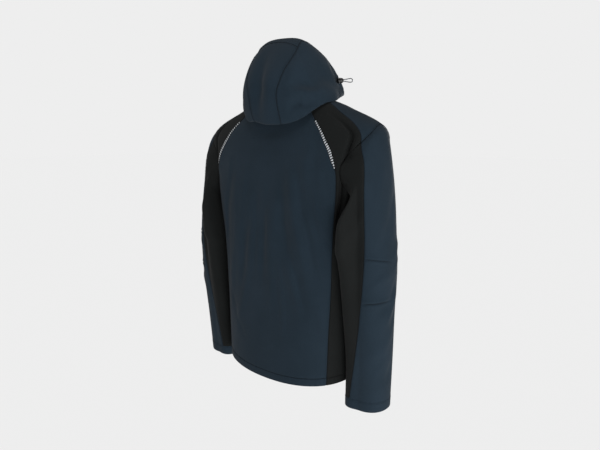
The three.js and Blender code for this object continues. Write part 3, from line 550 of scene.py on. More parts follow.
def patch(top, bottom, left, right):
    """A patch of a form between four seams, as the function that gives its places."""

    def places(down, across):
        d, a = down[:, None, None], across[None, :, None]
        ends = [seam(np.array([0.0, 1.0])) for seam in (top, bottom)]
        bends = [
            seam(across)[None] - ((1 - a) * end[0] + a * end[1])
            for seam, end in zip((top, bottom), ends)
        ]
        between = (1 - a) * left(down)[:, None] + a * right(down)[:, None]
        return between + (1 - d) ** 3 * bends[0] + d**3 * bends[1]

    return places


def rows_between(start, end, level):
    """A seam at one level, from one number round the form to another."""
    return lambda t: np.stack([start + (end - start) * t, level + 0 * t], -1)


RIPPLE_SEED = 7
RIPPLE_LENGTHS = (9, 12, 16, 23, 34)  # mm


def ripples(run, seed):
    """Uneven little waves along a seam, where the thread has drawn the cloth in: about -1 to 1."""
    waves = np.random.default_rng(RIPPLE_SEED + seed)
    total = 0 * run
    for wavelength in RIPPLE_LENGTHS:
        angle = 2 * np.pi * run / (wavelength * waves.uniform(0.9, 1.1))
        total = total + np.sin(angle + waves.uniform(0, 6.3))
    return total / 3


def grid_quads(index):
    corners = [index[:-1, :-1], index[1:, :-1], index[1:, 1:], index[:-1, 1:]]
    return np.stack(corners, -1).reshape(-1, 4)


SEAM_SINK, SEAM_SINK_WIDTH = 0.75, 1.3  # the groove along a seam
SEAM_RIDGE, SEAM_RIDGE_AT, SEAM_RIDGE_WIDTH = 0.12, 3.2, 1.8  # the cloth raised beside it
SEAM_RIPPLE, SEAM_RIPPLE_FADE = 0.3, 7
SEAM_INSET, SEAM_INSET_FADE = 0.5, 6  # how far an edge draws back, so that panels stay apart
HEM_RAISE = 0.45  # a hem is double
HEM_SINK, HEM_SINK_WIDTH = 0.55, 1.2  # the groove of its stitching
HEM_RIPPLE, HEM_RIPPLE_WIDTH = 0.55, 9
NO_SEAM = 60.0  # a place this far from every seam
DART_SHADE_REACH = 2.4  # how far the painted shade along a dart's line reaches


def cloth(
    name,
    node,
    form,
    places,
    edges,
    materials,
    sign=1,
    step=4.0,
    thick=CLOTH,
    raised=0.0,
    relief=None,
    lines=None,
    seed=0,
):
    """A panel of cloth on a form, with rounded and seamed edges, in place of a solid.

    edges says what left, right, top and bottom are: seam, fold, hem, under, or None on a band that
    closes on itself. relief gives an extra height in mm from the distances to the edges and the
    places, and lines how near, from 0 to 1, a place is to a sewn line within the panel. The
    distances to seams, the hem stitching and those lines go into the "seam" attribute, from which
    the cloth materials paint shade along them. It returns a dict of what its stitching is laid
    out from.
    """
    edges = dict(zip(("left", "right", "top", "bottom"), edges))
    fine, middle = np.linspace(0, 1, 300), np.array([0.5])
    column = lengths(form(*np.moveaxis(places(fine, middle), -1, 0))[:, 0])
    row = lengths(form(*np.moveaxis(places(middle, fine), -1, 0))[0])
    downs = spaced(column[-1], step, EDGE_LINES[edges["top"]], EDGE_LINES[edges["bottom"]])
    acrosses = spaced(row[-1], step, EDGE_LINES[edges["left"]], EDGE_LINES[edges["right"]])
    spots = places(np.interp(downs, column, fine), np.interp(acrosses, row, fine))
    u, v = spots[..., 0], spots[..., 1]
    points = form(u, v)
    closed = edges["left"] is None

    def normals_of(grid):
        across = np.gradient(grid, axis=1)
        if closed:
            across[:, 0] = across[:, -1] = grid[:, 1] - grid[:, -2]
        out = np.cross(across, np.gradient(grid, axis=0))
        return out / np.maximum(np.linalg.norm(out, axis=-1, keepdims=True), 1e-9)

    over = np.moveaxis(lengths(np.moveaxis(points, 1, 0)), 0, 1)
    down = lengths(points)
    far = {"left": over, "right": over[:, -1:] - over, "top": down, "bottom": down[-1:] - down}
    runs = {"left": down, "right": down, "top": over, "bottom": over}
    height = np.full(u.shape, float(raised))
    # How far each place is from a seam, the hem stitching or a dart line, for the painted shade
    # along them.
    painted_shade_distance = np.full(u.shape, NO_SEAM)
    for count, (edge, kind) in enumerate(edges.items()):
        d = far[edge]
        if kind == "seam":
            height += -SEAM_SINK * hump(d, 0, SEAM_SINK_WIDTH)
            height += SEAM_RIDGE * hump(d, SEAM_RIDGE_AT, SEAM_RIDGE_WIDTH)
            drawn = ripples(runs[edge], seed * 5 + count) * np.exp(-d / SEAM_RIPPLE_FADE)
            height += SEAM_RIPPLE * drawn * smooth(d, 0, 2)
            painted_shade_distance = np.minimum(painted_shade_distance, d)
        if kind == "hem":
            height += HEM_RAISE * (1 - smooth(d, HEM_DEPTH - 2, HEM_DEPTH))
            height += -HEM_SINK * hump(d, HEM_DEPTH, HEM_SINK_WIDTH)
            drawn = ripples(runs[edge], seed * 5 + count)
            height += HEM_RIPPLE * drawn * hump(d, HEM_DEPTH, HEM_RIPPLE_WIDTH)
            painted_shade_distance = np.minimum(painted_shade_distance, np.abs(d - HEM_DEPTH))
    if relief:
        height += relief(far, u, v)
    if lines:
        painted_shade_distance = np.minimum(painted_shade_distance, DART_SHADE_REACH * (1 - lines(u, v)))
    points = points + normals_of(points) * height[..., None]
    normals = normals_of(points)

    across = np.gradient(points, axis=1)
    across /= np.maximum(np.linalg.norm(across, axis=-1, keepdims=True), 1e-9)
    downwards = np.gradient(points, axis=0)
    downwards /= np.maximum(np.linalg.norm(downwards, axis=-1, keepdims=True), 1e-9)
    outward = {"left": -across, "right": across, "top": -downwards, "bottom": downwards}
    for edge, kind in edges.items():
        if kind == "seam":
            inset = SEAM_INSET * (1 - smooth(far[edge], 0, SEAM_INSET_FADE))
            points = points - outward[edge] * inset[..., None]

    curl = np.radians(np.linspace(0, 90, CURL + 1))[1:]
    columns = np.arange(points.shape[1])
    rows = np.arange(points.shape[0])
    side_pad = 0 if closed else CURL
    row_index = np.pad(rows, CURL, "edge")
    column_index = np.pad(columns, side_pad, "edge")
    row_angle = np.concatenate([curl[::-1], 0 * rows, curl])[:, None]
    column_angle = np.concatenate([curl[::-1][:side_pad], 0 * columns, curl[:side_pad]])[None, :]
    grid = np.ix_(row_index, column_index)
    radius = thick / 2
    upper_half = (np.arange(len(row_index)) < len(row_index) / 2)[:, None, None]
    row_way = np.where(upper_half, -downwards[grid], downwards[grid])
    half_way = (np.arange(len(column_index)) < len(column_index) / 2)[None, :, None]
    column_way = np.where(half_way, -across[grid], across[grid])
    rim = row_way * np.sin(row_angle)[..., None] + column_way * np.sin(column_angle)[..., None]
    sink = 1 - np.cos(row_angle) * np.cos(column_angle)
    base, out = points[grid] + rim * radius, normals[grid]
    outer = base - out * (radius * sink)[..., None]
    inner = base - out * (thick - radius * sink)[..., None]

    tall = len(outer)
    if closed:
        outer, inner = outer[:, :-1], inner[:, :-1]
    kept = outer.shape[1]
    index = np.arange(tall * kept).reshape(tall, kept)
    shared = np.zeros((tall, kept), bool)
    shared[0] = shared[-1] = True
    if not closed:
        shared[:, 0] = shared[:, -1] = True
    inner_index = index.copy()
    inner_index[~shared] = tall * kept + np.arange((~shared).sum())
    if closed:
        index, inner_index = (np.concatenate([i, i[:, :1]], 1) for i in (index, inner_index))

    faces = np.concatenate([grid_quads(index), grid_quads(inner_index)[:, ::-1]])
    if sign < 0:
        faces = faces[:, ::-1]
    all_points = np.concatenate([outer.reshape(-1, 3), inner[~shared]]) * (sign, 1, 1)

    def per_point(values):
        picked = values[grid]
        if closed:
            picked = picked[:, :-1]
        return np.concatenate([picked.reshape((-1,) + picked.shape[2:]), picked[~shared]])

    uv = np.stack([per_point(over), per_point(down)], -1) * MM
    slots = np.repeat([0, min(1, len(materials) - 1)], len(faces) // 2)
    # The "seam" attribute carries these distances, and the softshell materials paint shade from it.
    values = {"seam": per_point(painted_shade_distance)}
    piece = mesh_piece(name, all_points, faces, materials, slots, uv, values)
    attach(piece, "jacket")
    size = np.array([over[:, -1].max(), down[-1].max()]) * MM
    corners = [points[:-1, :-1], points[1:, :-1], points[1:, 1:], points[:-1, 1:]]
    crossed = np.cross(corners[2] - corners[0], corners[3] - corners[1])
    area = 0.5 * np.linalg.norm(crossed, axis=-1).sum() * MM * MM
    float(min(area, size.prod()))
    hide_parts(node)
    return {"points": points, "normals": normals, "far": far, "sign": sign}


# Softshell face: matte plain-woven polyester with a little stretch, dyed. The weave breaks up the
# light, and a very soft sheen lies on it where it turns away. Its colour is darkened along seams,
# the hem stitching and dart lines as painted shade for the shadow in their grooves. inside is the
# brushed fleece that the face is bonded to.
def softshell(name, light, dark, sheen):
    material, tree = new_material(name)
    uv = add_node(tree, "UVMap", uv_map="cut")
    threads = add_node(
        tree, "VectorMath", {0: uv, "Scale": math.pi / (FACE_THREAD * MM)}, operation="SCALE"
    )
    split = add_node(tree, "SeparateXYZ", {"Vector": threads})
    weft = add_node(tree, "Math", {0: split.outputs["X"]}, operation="SINE")
    warp = add_node(tree, "Math", {0: split.outputs["Y"]}, operation="SINE")
    weave = add_node(tree, "Math", {0: weft, 1: warp}, operation="MULTIPLY")
    place = add_node(tree, "TexCoord")
    slub = add_node(
        tree, "TexNoise", {"Vector": place.outputs["Object"], "Scale": 420.0, "Detail": 4.0}
    )
    cloud = add_node(
        tree, "TexNoise", {"Vector": place.outputs["Object"], "Scale": 14.0, "Detail": 2.0}
    )
    mixed = add_node(
        tree, "Math", {0: slub.outputs["Fac"], 1: cloud.outputs["Fac"]}, operation="ADD"
    )
    shade = add_node(
        tree,
        "MapRange",
        {"Value": mixed, "From Min": 0.62, "From Max": 1.38, "To Min": 0.0, "To Max": 1.0},
    )
    tone = add_node(
        tree, "Mix", {"Factor": shade, "A": linear(dark), "B": linear(light)}, data_type="RGBA"
    )
    # Painted shade: within about 1.6 mm of a seam, the hem stitching or a dart line, the colour is
    # multiplied down to 0.45 for the shadow in the groove.
    seam = add_node(tree, "Attribute", attribute_name="seam")
    line = add_node(
        tree,
        "MapRange",
        {
            "Value": seam.outputs["Fac"],
            "From Min": 0.2,
            "From Max": 1.6,
            "To Min": 0.45,
            "To Max": 1.0,
        },
    )
    colour = add_node(
        tree,
        "Mix",
        {"Factor": 1.0, "A": tone.outputs["Result"], "B": line},
        data_type="RGBA",
        blend_type="MULTIPLY",
    )
    rough_height = add_node(tree, "Math", {0: slub.outputs["Fac"], 1: 1.4}, operation="MULTIPLY")
    weave_height = add_node(tree, "Math", {0: weave, 1: 0.35}, operation="MULTIPLY")
    surface_height = add_node(tree, "Math", {0: rough_height, 1: weave_height}, operation="ADD")
    bump = add_node(tree, "Bump", {"Height": surface_height, "Strength": 0.35, "Distance": 0.0003})
    surface = add_node(
        tree,
        "BsdfPrincipled",
        {
            "Base Color": colour.outputs["Result"],
            "Roughness": 0.86,
            "Specular IOR Level": 0.12,
            "Sheen Weight": sheen,
            "Sheen Roughness": 0.5,
            "Normal": bump,
        },
    )
    add_node(tree, "OutputMaterial", {"Surface": surface})
    return material


# Brushed polyester fleece, the inner face of the bonded cloth: a short soft pile in small uneven
# tufts.
def brushed_fleece():
    material, tree = new_material("brushed_fleece")
    place = add_node(tree, "TexCoord")
    tuft = add_node(tree, "TexVoronoi", {"Vector": place.outputs["Object"], "Scale": 520.0})
    tone = add_node(
        tree,
        "Mix",
        {"Factor": tuft.outputs["Distance"], "A": linear("#14171B"), "B": linear("#0B0D10")},
        data_type="RGBA",
    )
    bump = add_node(
        tree, "Bump", {"Height": tuft.outputs["Distance"], "Strength": 0.5, "Distance": 0.0008}
    )
    surface = add_node(
        tree,
        "BsdfPrincipled",
        {
            "Base Color": tone.outputs["Result"],
            "Roughness": 0.95,
            "Sheen Weight": 0.4,
            "Normal": bump,
        },
    )
    add_node(tree, "OutputMaterial", {"Surface": surface})
    return material


NAVY = softshell("navy_softshell", "#1B2731", "#15212A", 0.03)
BLACK = softshell("black_softshell", "#121414", "#0E1010", 0.02)
FLEECE = brushed_fleece()

# The seams between the body's panels, as places on the body form. They are those of the solids.
ARM = {"turn": 92, "level": 2.88, "to_front": 22, "to_back": 45, "up": 1.13, "down": 1.1}
UNDERARM = 180
SHOULDER_END = 305.9
BACK_SEAM = (
    42, 40.4, 38.6, 34.5, 33.5, 38.5, 44.5, 46.8, 47.7, 48.6, 49.2, 49.1, 48.6, 48.6, 49.1, 49.6, 50
)
SHOULDER_SEAM = (76, 71, 66.5, 61.2, 56.5)
# How each long edge is divided between its seams.
SHOULDER_SHARE, REAR_SHARE, FORE_SHARE, SIDE_SHARE = 6, 7, 11, 10
REAR_ROWS = SHOULDER_SHARE + REAR_SHARE + SIDE_SHARE
FORE_ROWS = FORE_SHARE + SIDE_SHARE


def armhole(round_):
    """The armhole seam: 0 at its top, 90 at its front, 180 under the arm and 270 at its back."""
    s, c = np.sin(np.radians(round_)), np.cos(np.radians(round_))
    turn = ARM["turn"] + s * np.where(s > 0, ARM["to_front"], ARM["to_back"])
    return np.stack([turn, ARM["level"] - c * np.where(c > 0, ARM["up"], ARM["down"])], -1)


def shoulder_seam(t):
    end = armhole(np.array(SHOULDER_END))
    return np.stack([along(SHOULDER_SEAM + (end[0],), t * len(SHOULDER_SEAM)), end[1] * t], -1)


def side_seam(t):
    start = armhole(np.array(UNDERARM))[1]
    return np.stack([ARM["turn"] + 0 * t, start + (HEM - start) * t], -1)


def rear_edge(t):
    s = t * REAR_ROWS
    rounds = SHOULDER_END + (UNDERARM - SHOULDER_END) * (s - SHOULDER_SHARE) / REAR_SHARE
    low = (s - SHOULDER_SHARE - REAR_SHARE) / SIDE_SHARE
    shoulder = shoulder_seam(np.clip(s / SHOULDER_SHARE, 0, 1))
    path = np.where((s < SHOULDER_SHARE)[:, None], shoulder, armhole(rounds))
    return np.where((low > 0)[:, None], side_seam(np.clip(low, 0, 1)), path)


def back_seam(t):
    level = rear_edge(t)[:, 1]
    eased = level + 0.35 * (HEM * t - level)
    return np.stack([along(BACK_SEAM, eased / 0.5), eased], -1)


neck_turn, hem_turn = back_seam(np.array([0.0, 1.0]))[:, 0]


def stitch_line(layout, edge, distance, start=0.0, end=1.0):
    """A line on a panel at a distance from one of its edges, as points and normals in mm."""
    far, points, normals = layout["far"][edge], layout["points"], layout["normals"]
    if edge in ("top", "bottom"):
        far, points, normals = far.T, points.swapaxes(0, 1), normals.swapaxes(0, 1)
    if edge in ("right", "bottom"):
        far, points, normals = far[:, ::-1], points[:, ::-1], normals[:, ::-1]
    found = []
    for i in range(len(far)):
        if far[i, -1] < distance:
            continue
        j = max(int(np.searchsorted(far[i], distance)), 1)
        w = (distance - far[i, j - 1]) / max(far[i, j] - far[i, j - 1], 1e-9)
        pair = [(1 - w) * a[i, j - 1] + w * a[i, j] for a in (points, normals)]
        found.append(np.concatenate(pair))
    found = np.array(found)
    run = lengths(found[:, :3])
    wanted = np.linspace(run[-1] * start, run[-1] * end, max(4, int(run[-1] * (end - start) / 2)))
    line = np.stack([np.interp(wanted, run, found[:, k]) for k in range(6)], 1)
    return line * (layout["sign"], 1, 1, layout["sign"], 1, 1)


STITCH = 3.0  # the stitch length, with a short dip into the cloth between stitches
STITCH_BAR = 0.86  # the share of it that shows
THREAD = 0.26  # half the thread's width
SEAM_STITCH = 3.4  # how far a row of stitches runs from its seam
# A stitch's rings, as a place along it, a height and a share of the width, and a ring's corners.
STITCH_RINGS = ((-0.5, -0.25, 0.5), (-0.3, 0.28, 1.0), (0.3, 0.28, 1.0), (0.5, -0.25, 0.5))
STITCH_CORNERS = ((1, 0), (0, 1), (-1, 0), (0, -0.6))


# Topstitching in spun polyester thread. Each stitch is a short raised bar that dips into the cloth
# at both ends.
def spun_thread(name, colour):
    material, tree = new_material(name)
    place = add_node(tree, "TexCoord")
    fibre = add_node(
        tree, "TexNoise", {"Vector": place.outputs["Object"], "Scale": 2500.0, "Detail": 2.0}
    )
    bump = add_node(
        tree, "Bump", {"Height": fibre.outputs["Fac"], "Strength": 0.4, "Distance": 0.0001}
    )
    surface = add_node(
        tree,
        "BsdfPrincipled",
        {"Base Color": linear(colour), "Roughness": 0.9, "Specular IOR Level": 0.1, "Normal": bump},
    )
    add_node(tree, "OutputMaterial", {"Surface": surface})
    return material


NAVY_THREAD = spun_thread("navy_polyester_thread", "#18222B")


def stitching(name, lines, material):
    all_points, all_faces, count = [], [], 0
    pattern = np.array(ring_faces(len(STITCH_RINGS), len(STITCH_CORNERS))[:-2])
    for line in lines:
        run = lengths(line[:, :3])
        centres = np.arange(STITCH / 2, run[-1] - STITCH / 2, STITCH)
        at = np.stack([np.interp(centres, run, line[:, k]) for k in range(6)], 1)
        ahead = np.stack([np.interp(centres + 0.5, run, line[:, k]) for k in range(3)], 1)
        out = at[:, 3:] / np.linalg.norm(at[:, 3:], axis=1)[:, None]
        way = ahead - at[:, :3]
        way -= out * (way * out).sum(1)[:, None]
        way /= np.maximum(np.linalg.norm(way, axis=1)[:, None], 1e-9)
        across = np.cross(out, way)
        rings = []
        for reach, lift, size in STITCH_RINGS:
            middle = at[:, :3] + way * reach * (STITCH * STITCH_BAR) + out * lift
            for x, z in STITCH_CORNERS:
                rings.append(middle + (across * x + out * z) * THREAD * size)
        points = np.stack(rings, 1)
        all_points.append(points.reshape(-1, 3))
        first = count + np.arange(len(at))[:, None, None] * len(rings)
        all_faces.append((first + pattern[None]).reshape(-1, 4))
        count += len(at) * len(rings)
    points, faces = np.concatenate(all_points), np.concatenate(all_faces)
    settle(mesh_piece(name, points, faces, [material]))


layout = cloth(
    "back_panel",
    "back",
    on_body,
    patch(
        rows_between(-neck_turn, neck_turn, 0),
        rows_between(-hem_turn, hem_turn, HEM),
        lambda t: back_seam(t) * (-1, 1),
        back_seam,
    ),
    SEAMS_AND_HEM,
    [NAVY, FLEECE],
    step=3.8,
    seed=1,
)
back_lines = [stitch_line(layout, edge, SEAM_STITCH) for edge in ("left", "right")]
back_lines.append(stitch_line(layout, "bottom", HEM_DEPTH))
stitching("stitching_back", back_lines, NAVY_THREAD)


# The side panels. Black softshell inserts that start at the neck, run over the shoulder blade
# behind the armhole and down the side to the hem, each sewn to the back, the front and the sleeve.
side_lines = []
for side, sign in SIDES:
    layout = cloth(
        f"side_panel_{side}",
        f"side_{side}",
        one_half(on_body, sign),
        patch(
            rows_between(neck_turn, SHOULDER_SEAM[0], 0),
            rows_between(hem_turn, ARM["turn"], HEM),
            back_seam,
            rear_edge,
        ),
        SEAMS_AND_HEM,
        [BLACK, FLEECE],
        sign=sign,
        step=2.6,
        seed=2 + sign,
    )
    side_lines.append(stitch_line(layout, "bottom", HEM_DEPTH))
BLACK_THREAD = spun_thread("black_polyester_thread", "#121414")
stitching("stitching_sides", side_lines, BLACK_THREAD)


# The fronts. Two navy panels that come over the shoulders from the zip to meet the side panels
# behind. They are plain: no pockets, only the zip edge turned in and stitched, and the hem.
ZIP_HALF = 8  # mm from the middle to each front's edge


def front_turn(level, distance):
    """The turn at which the body is a given distance from the middle plane, at the front."""
    level = np.asarray(level, float)
    turn = np.full(level.shape, 178.0)
    for _ in range(6):
        half = smooth_body(turn, level)[..., 0] / np.sin(np.radians(turn))
        turn = 180 - np.degrees(np.arcsin(distance / half))
    return turn


def fore_edge(t):
    s = t * FORE_ROWS
    rounds = SHOULDER_END - 360 + (UNDERARM - SHOULDER_END + 360) * s / FORE_SHARE
    low = (s - FORE_SHARE) / SIDE_SHARE
    return np.where((low > 0)[:, None], side_seam(np.clip(low, 0, 1)), armhole(rounds))


def zip_edge(t):
    level = HEM * t**0.75
    return np.stack([front_turn(level, ZIP_HALF), level], -1)


NECK_SHARE = 8


def front_top(t):
    s = t * (SHOULDER_SHARE + NECK_SHARE)
    end = zip_edge(np.array([0.0]))[0, 0]
    neck = SHOULDER_SEAM[0] + (end - SHOULDER_SEAM[0]) * (s - SHOULDER_SHARE) / NECK_SHARE
    row = np.stack([neck, 0 * neck], -1)
    shoulder = shoulder_seam(np.clip(1 - s / SHOULDER_SHARE, 0, 1))
    return np.where((s < SHOULDER_SHARE)[:, None], shoulder, row)


ZIP_STITCH = 6.0
front_lines = []
for side, sign in SIDES:
    layout = cloth(
        f"front_panel_{side}",
        f"front_{side}",
        one_half(on_body, sign),
        patch(
            front_top,
            rows_between(ARM["turn"], zip_edge(np.array([1.0]))[0, 0], HEM),
            fore_edge,
            zip_edge,
        ),
        ("seam", "fold", "seam", "hem"),
        [NAVY, FLEECE],
        sign=sign,
        step=4.2,
        relief=lambda far, u, v: -0.5 * hump(far["right"], ZIP_STITCH, 1.5),
        seed=5 + sign,
    )
    front_lines.append(stitch_line(layout, "right", ZIP_STITCH))
    front_lines.append(stitch_line(layout, "bottom", HEM_DEPTH))
    front_lines.append(stitch_line(layout, "left", SEAM_STITCH))
stitching("stitching_fronts", front_lines, NAVY_THREAD)


# The sleeves. Each has a navy piece round the front and outside, with two short elbow darts, and a
# black piece down the back and inside. They hang just clear of the body, with a few slack creases
# inside the elbow.
SLEEVE_COLUMNS = ("x", "y", "z", "out", "in", "fore", "rear", "lift", "square", "hug")
SLEEVE_RINGS = {
    "cap": (234, 10, -163, 29, 15, 63, 80, 92, 1.7, 0.35),
    "upper arm": (243, 17, -240, 43, 23, 58, 74, 52, 2, 1.0),
    "biceps": (248, 23, -330, 50, 34, 58, 71, 18, 2.2, 0.75),
    "elbow": (250, 25, -400, 54, 40, 57, 67, 6, 2.2, 0.55),
    "forearm": (250, 27, -490, 53, 42, 52, 59, 3, 2.2, 0.42),
    "wrist": (248, 20, -607, 51, 44, 46, 54, 0, 2.2, 0.3),
    "cuff": (243, 13, -730, 50, 46, 43, 53, 0, 2.2, 0.25),
}
CUFF_EDGE = len(SLEEVE_RINGS)
CUFF_SEAM = CUFF_EDGE - 0.19
SLEEVE_SCALE = (0.95, 95)
HANG = {"left": -17, "right": 6}  # how much lower each cuff hangs than the rings say, in mm
SLEEVE_SEAM = (SHOULDER_END, 295.5, 288.1, 287, 280.9, 270.2, 252.5, 239.3)
SLEEVE_CREASES = {
    "left": (
        (((60, 3.7), (165, 4.1)), -6, 17),
        (((50, 4.6), (160, 4.4)), -5, 18),
        (((80, 4.3), (170, 4.9)), 4, 18),
        (((-80, 2.4), (-150, 3.6)), 4, 18),
        (((40, 5.9), (130, 5.6)), -3, 18),
    ),
    "right": (
        (((70, 3.9), (165, 3.7)), -6, 17),
        (((60, 4.3), (150, 4.8)), -5, 18),
        (((12, 4.4), (-30, 5.2)), 3, 16),
        (((-85, 2.2), (-150, 3.2)), 4, 18),
        (((60, 5.6), (150, 6.0)), -3, 18),
    ),
}
SLEEVE_FINE = {
    "left": (
        (((10, 2.2), (-40, 2.9)), 2.4, 11),
        (((24, 1.8), (-20, 2.4)), -2.4, 12),
        (((20, 3.9), (-40, 4.3)), -2.6, 12),
        (((10, 4.7), (-50, 5.2)), 2.4, 12),
        (((14, 5.8), (-40, 6.1)), -2, 12),
        (((20, 2.8), (-30, 3.3)), -1.3, 8),
        (((-20, 3.4), (-80, 4.1)), 1.5, 9),
        (((-30, 4.9), (-90, 5.6)), 1.2, 9),
        (((90, 5.0), (40, 5.4)), 1.6, 9),
        (((110, 3.3), (60, 3.0)), 1.6, 9),
    ),
    "right": (
        (((14, 4.3), (0, 4.8), (-26, 5.2)), 1.8, 7),
        (((24, 4.7), (-8, 5.4)), -1.6, 8),
        (((-30, 3.9), (-62, 4.3)), 1.0, 8),
        (((30, 3.5), (0, 3.9)), 1.4, 9),
        (((-20, 5.9), (-60, 6.3)), 1.0, 8),
        (((110, 3.2), (60, 2.9)), 1.6, 9),
        (((-20, 1.6), (-42, 2.3)), 2.2, 12),
        (((20, 2.0), (-10, 2.7), (-44, 3.2)), -2.6, 13),
        (((30, 3.0), (0, 3.6)), 2.4, 12),
        (((-10, 3.9), (-50, 4.2)), 2.4, 12),
        (((20, 4.1), (-14, 4.7), (-54, 5.0)), -2.8, 11),
        (((10, 5.2), (-30, 5.7), (-62, 5.8)), 2.2, 12),
        (((14, 6.0), (-20, 6.4)), -2, 12),
    ),
}
# The elbow darts, as places on the sleeve: sewn folds that shape the elbow and end in nothing
# towards the front.
ELBOW_DARTS = {
    "left": (((-79, 3.36), (-10, 3.62)), ((-82, 4.62), (-8, 4.62))),
    "right": (((-79, 3.33), (-6, 3.62)), ((-84, 4.65), (-6, 4.63))),
}
sleeve_rings = [dict(zip(SLEEVE_COLUMNS, row)) for row in SLEEVE_RINGS.values()]


def sleeve_form(side, sign):
    """round goes round the sleeve as round the armhole, and level counts the rings down from it."""

    def ring_point(ring, round_):
        angle = np.radians(round_)
        outside, forward = np.cos(angle) > 0, np.sin(angle) > 0
        hug = np.where(outside | forward, 0, ring["hug"] * np.sin(2 * angle) ** 2)
        reach = box_reach(angle, ring["square"]) * (1 + hug)
        lower = HANG[side] * smooth(-ring["z"], 200, 730)
        return np.stack(
            [
                ring["x"] + np.where(outside, ring["out"], ring["in"]) * reach * np.cos(angle),
                ring["y"] - np.where(forward, ring["fore"], ring["rear"]) * reach * np.sin(angle),
                ring["z"] + ring["lift"] * np.cos(angle) - lower,
            ],
            -1,
        )

    body = one_half(on_body, sign)

    def plain(round_, level):
        shape = np.broadcast(round_, level).shape
        round_, level = (np.broadcast_to(x, shape).ravel() for x in (round_, level))
        seam = armhole(round_)
        stations = [body(seam[:, 0], seam[:, 1])]
        stations += [ring_point(ring, round_) for ring in sleeve_rings]
        return smooth_line(np.array(stations), level).reshape(shape + (3,))

    def form(round_, level):
        near = smooth(level, 0, 0.6) * (1 - smooth(level, CUFF_SEAM - 0.4, CUFF_SEAM))
        creases = SLEEVE_CREASES[side] + SLEEVE_FINE[side]
        height = near * crease_height(creases, SLEEVE_SCALE, round_, level)
        return plain(round_, level) + facing(plain, round_, level, 0, CUFF_EDGE) * height[..., None]

    return form


def sleeve_seam(t):
    level = CUFF_SEAM * t
    return np.stack([along(SLEEVE_SEAM, level), level], -1)


def underarm_seam(t):
    return np.stack([UNDERARM + 0 * t, CUFF_SEAM * t], -1)


seam_foot = sleeve_seam(np.array([1.0]))[0, 0]


def dart_creases(side, height, width):
    return tuple((dart, height, width) for dart in ELBOW_DARTS[side])


def dart_relief(side):
    """The darts' sunk line with the cloth drawn up on both sides of it."""
    creases = dart_creases(side, -3.2, 2.6) + dart_creases(side, 2.2, 9.0)
    return lambda far, u, v: crease_height(creases, SLEEVE_SCALE, u, v)


# Where the darts' lines are, from 0 to 1, for the painted shade along them.
def dart_shade_lines(side):
    return lambda u, v: crease_height(dart_creases(side, 1, 2.2), SLEEVE_SCALE, u, v)


sleeve_lines = []
for side, sign in SIDES:
    form = sleeve_form(side, sign)
    cloth(
        f"sleeve_rear_{side}",
        f"sleeve_back_{side}",
        form,
        patch(
            rows_between(UNDERARM, SHOULDER_END, 0),
            rows_between(UNDERARM, seam_foot, CUFF_SEAM),
            underarm_seam,
            sleeve_seam,
        ),
        ALL_SEAMS,
        [BLACK, FLEECE],
        sign=sign,
        seed=8 + sign,
    )
    layout = cloth(
        f"sleeve_front_panel_{side}",
        f"sleeve_front_{side}",
        form,
        patch(
            rows_between(SHOULDER_END - 360, UNDERARM, 0),
            rows_between(seam_foot - 360, UNDERARM, CUFF_SEAM),
            lambda t: sleeve_seam(t) - (360, 0),
            underarm_seam,
        ),
        ALL_SEAMS,
        [NAVY, FLEECE],
        sign=sign,
        step=2.4,
        relief=dart_relief(side),
        lines=dart_shade_lines(side),
        seed=11 + sign,
    )
    sleeve_lines.append(stitch_line(layout, "left", SEAM_STITCH))
    sleeve_lines.append(stitch_line(layout, "top", SEAM_STITCH))
stitching("stitching_sleeves", sleeve_lines, NAVY_THREAD)


# The cuffs. The sleeve's end is folded up double and stitched down, so the band is a little
# thicker and stiffer.
TURNED = 2.8
CUFF_RAISE = 0.5
CUFF_STITCH = 2.4


def cuff_places(down, across):
    level = CUFF_SEAM + (CUFF_EDGE - CUFF_SEAM) * down
    round_ = -180 + 360 * across
    return np.stack(np.broadcast_arrays(round_[None, :], level[:, None]), -1)


cuff_lines = []
for side, sign in SIDES:
    layout = cloth(
        f"cuff_band_{side}",
        f"cuff_{side}",
        sleeve_form(side, sign),
        cuff_places,
        (None, None, "fold", "fold"),
        [NAVY, FLEECE],
        sign=sign,
        step=3.0,
        thick=TURNED,
        raised=CUFF_RAISE,
        relief=lambda far, u, v: -0.4 * hump(far["top"], CUFF_STITCH, 1.0),
        seed=14 + sign,
    )
    cuff_lines.append(stitch_line(layout, "top", CUFF_STITCH))
stitching("stitching_cuffs", cuff_lines, NAVY_THREAD)


# The collar. A stand of doubled navy cloth on the neck seam, inside the hood, with the zip let into
# its front edges.
COLLAR_TOP = dict(zip(BODY_COLUMNS, (86, 64, 94, 74, 78, 14, 2.2, 2.4)))
COLLAR_INSET = 3
COLLAR_STITCH = 6


def on_collar(turn, down):
    top = body_ring(COLLAR_TOP, turn)
    seam = smooth_body(turn, 0 * np.asarray(turn, float))
    flat = seam * (1, 1, 0)
    seam = seam - COLLAR_INSET * flat / np.linalg.norm(flat, axis=-1, keepdims=True)
    return top + (seam - top) * np.asarray(down)[..., None]


def collar_places(down, across):
    end = front_turn(np.array([0.0]), ZIP_HALF)[0]
    turn = -end + 2 * end * across
    return np.stack(np.broadcast_arrays(turn[None, :], down[:, None]), -1)


layout = cloth(
    "stand_collar",
    "collar",
    on_collar,
    collar_places,
    ("fold", "fold", "fold", "seam"),
    [NAVY, NAVY],
    step=4.0,
    relief=lambda far, u, v: 0.5 * ripples(far["left"], 41) * smooth(far["bottom"], 0, 30),
    seed=17,
)
collar_lines = [stitch_line(layout, edge, COLLAR_STITCH) for edge in ("top", "left", "right")]
stitching("stitching_collar", collar_lines, NAVY_THREAD)


# The hood. Four navy panels: a brim over the forehead, a strip from it down the middle to the nape,
# and two sides. It has dropped back a little, so it is hollow at the left and folds under round the
# neck, where it is sewn on.
HOOD_OFF = 1.2  # the hood's foot stands this far off the collar
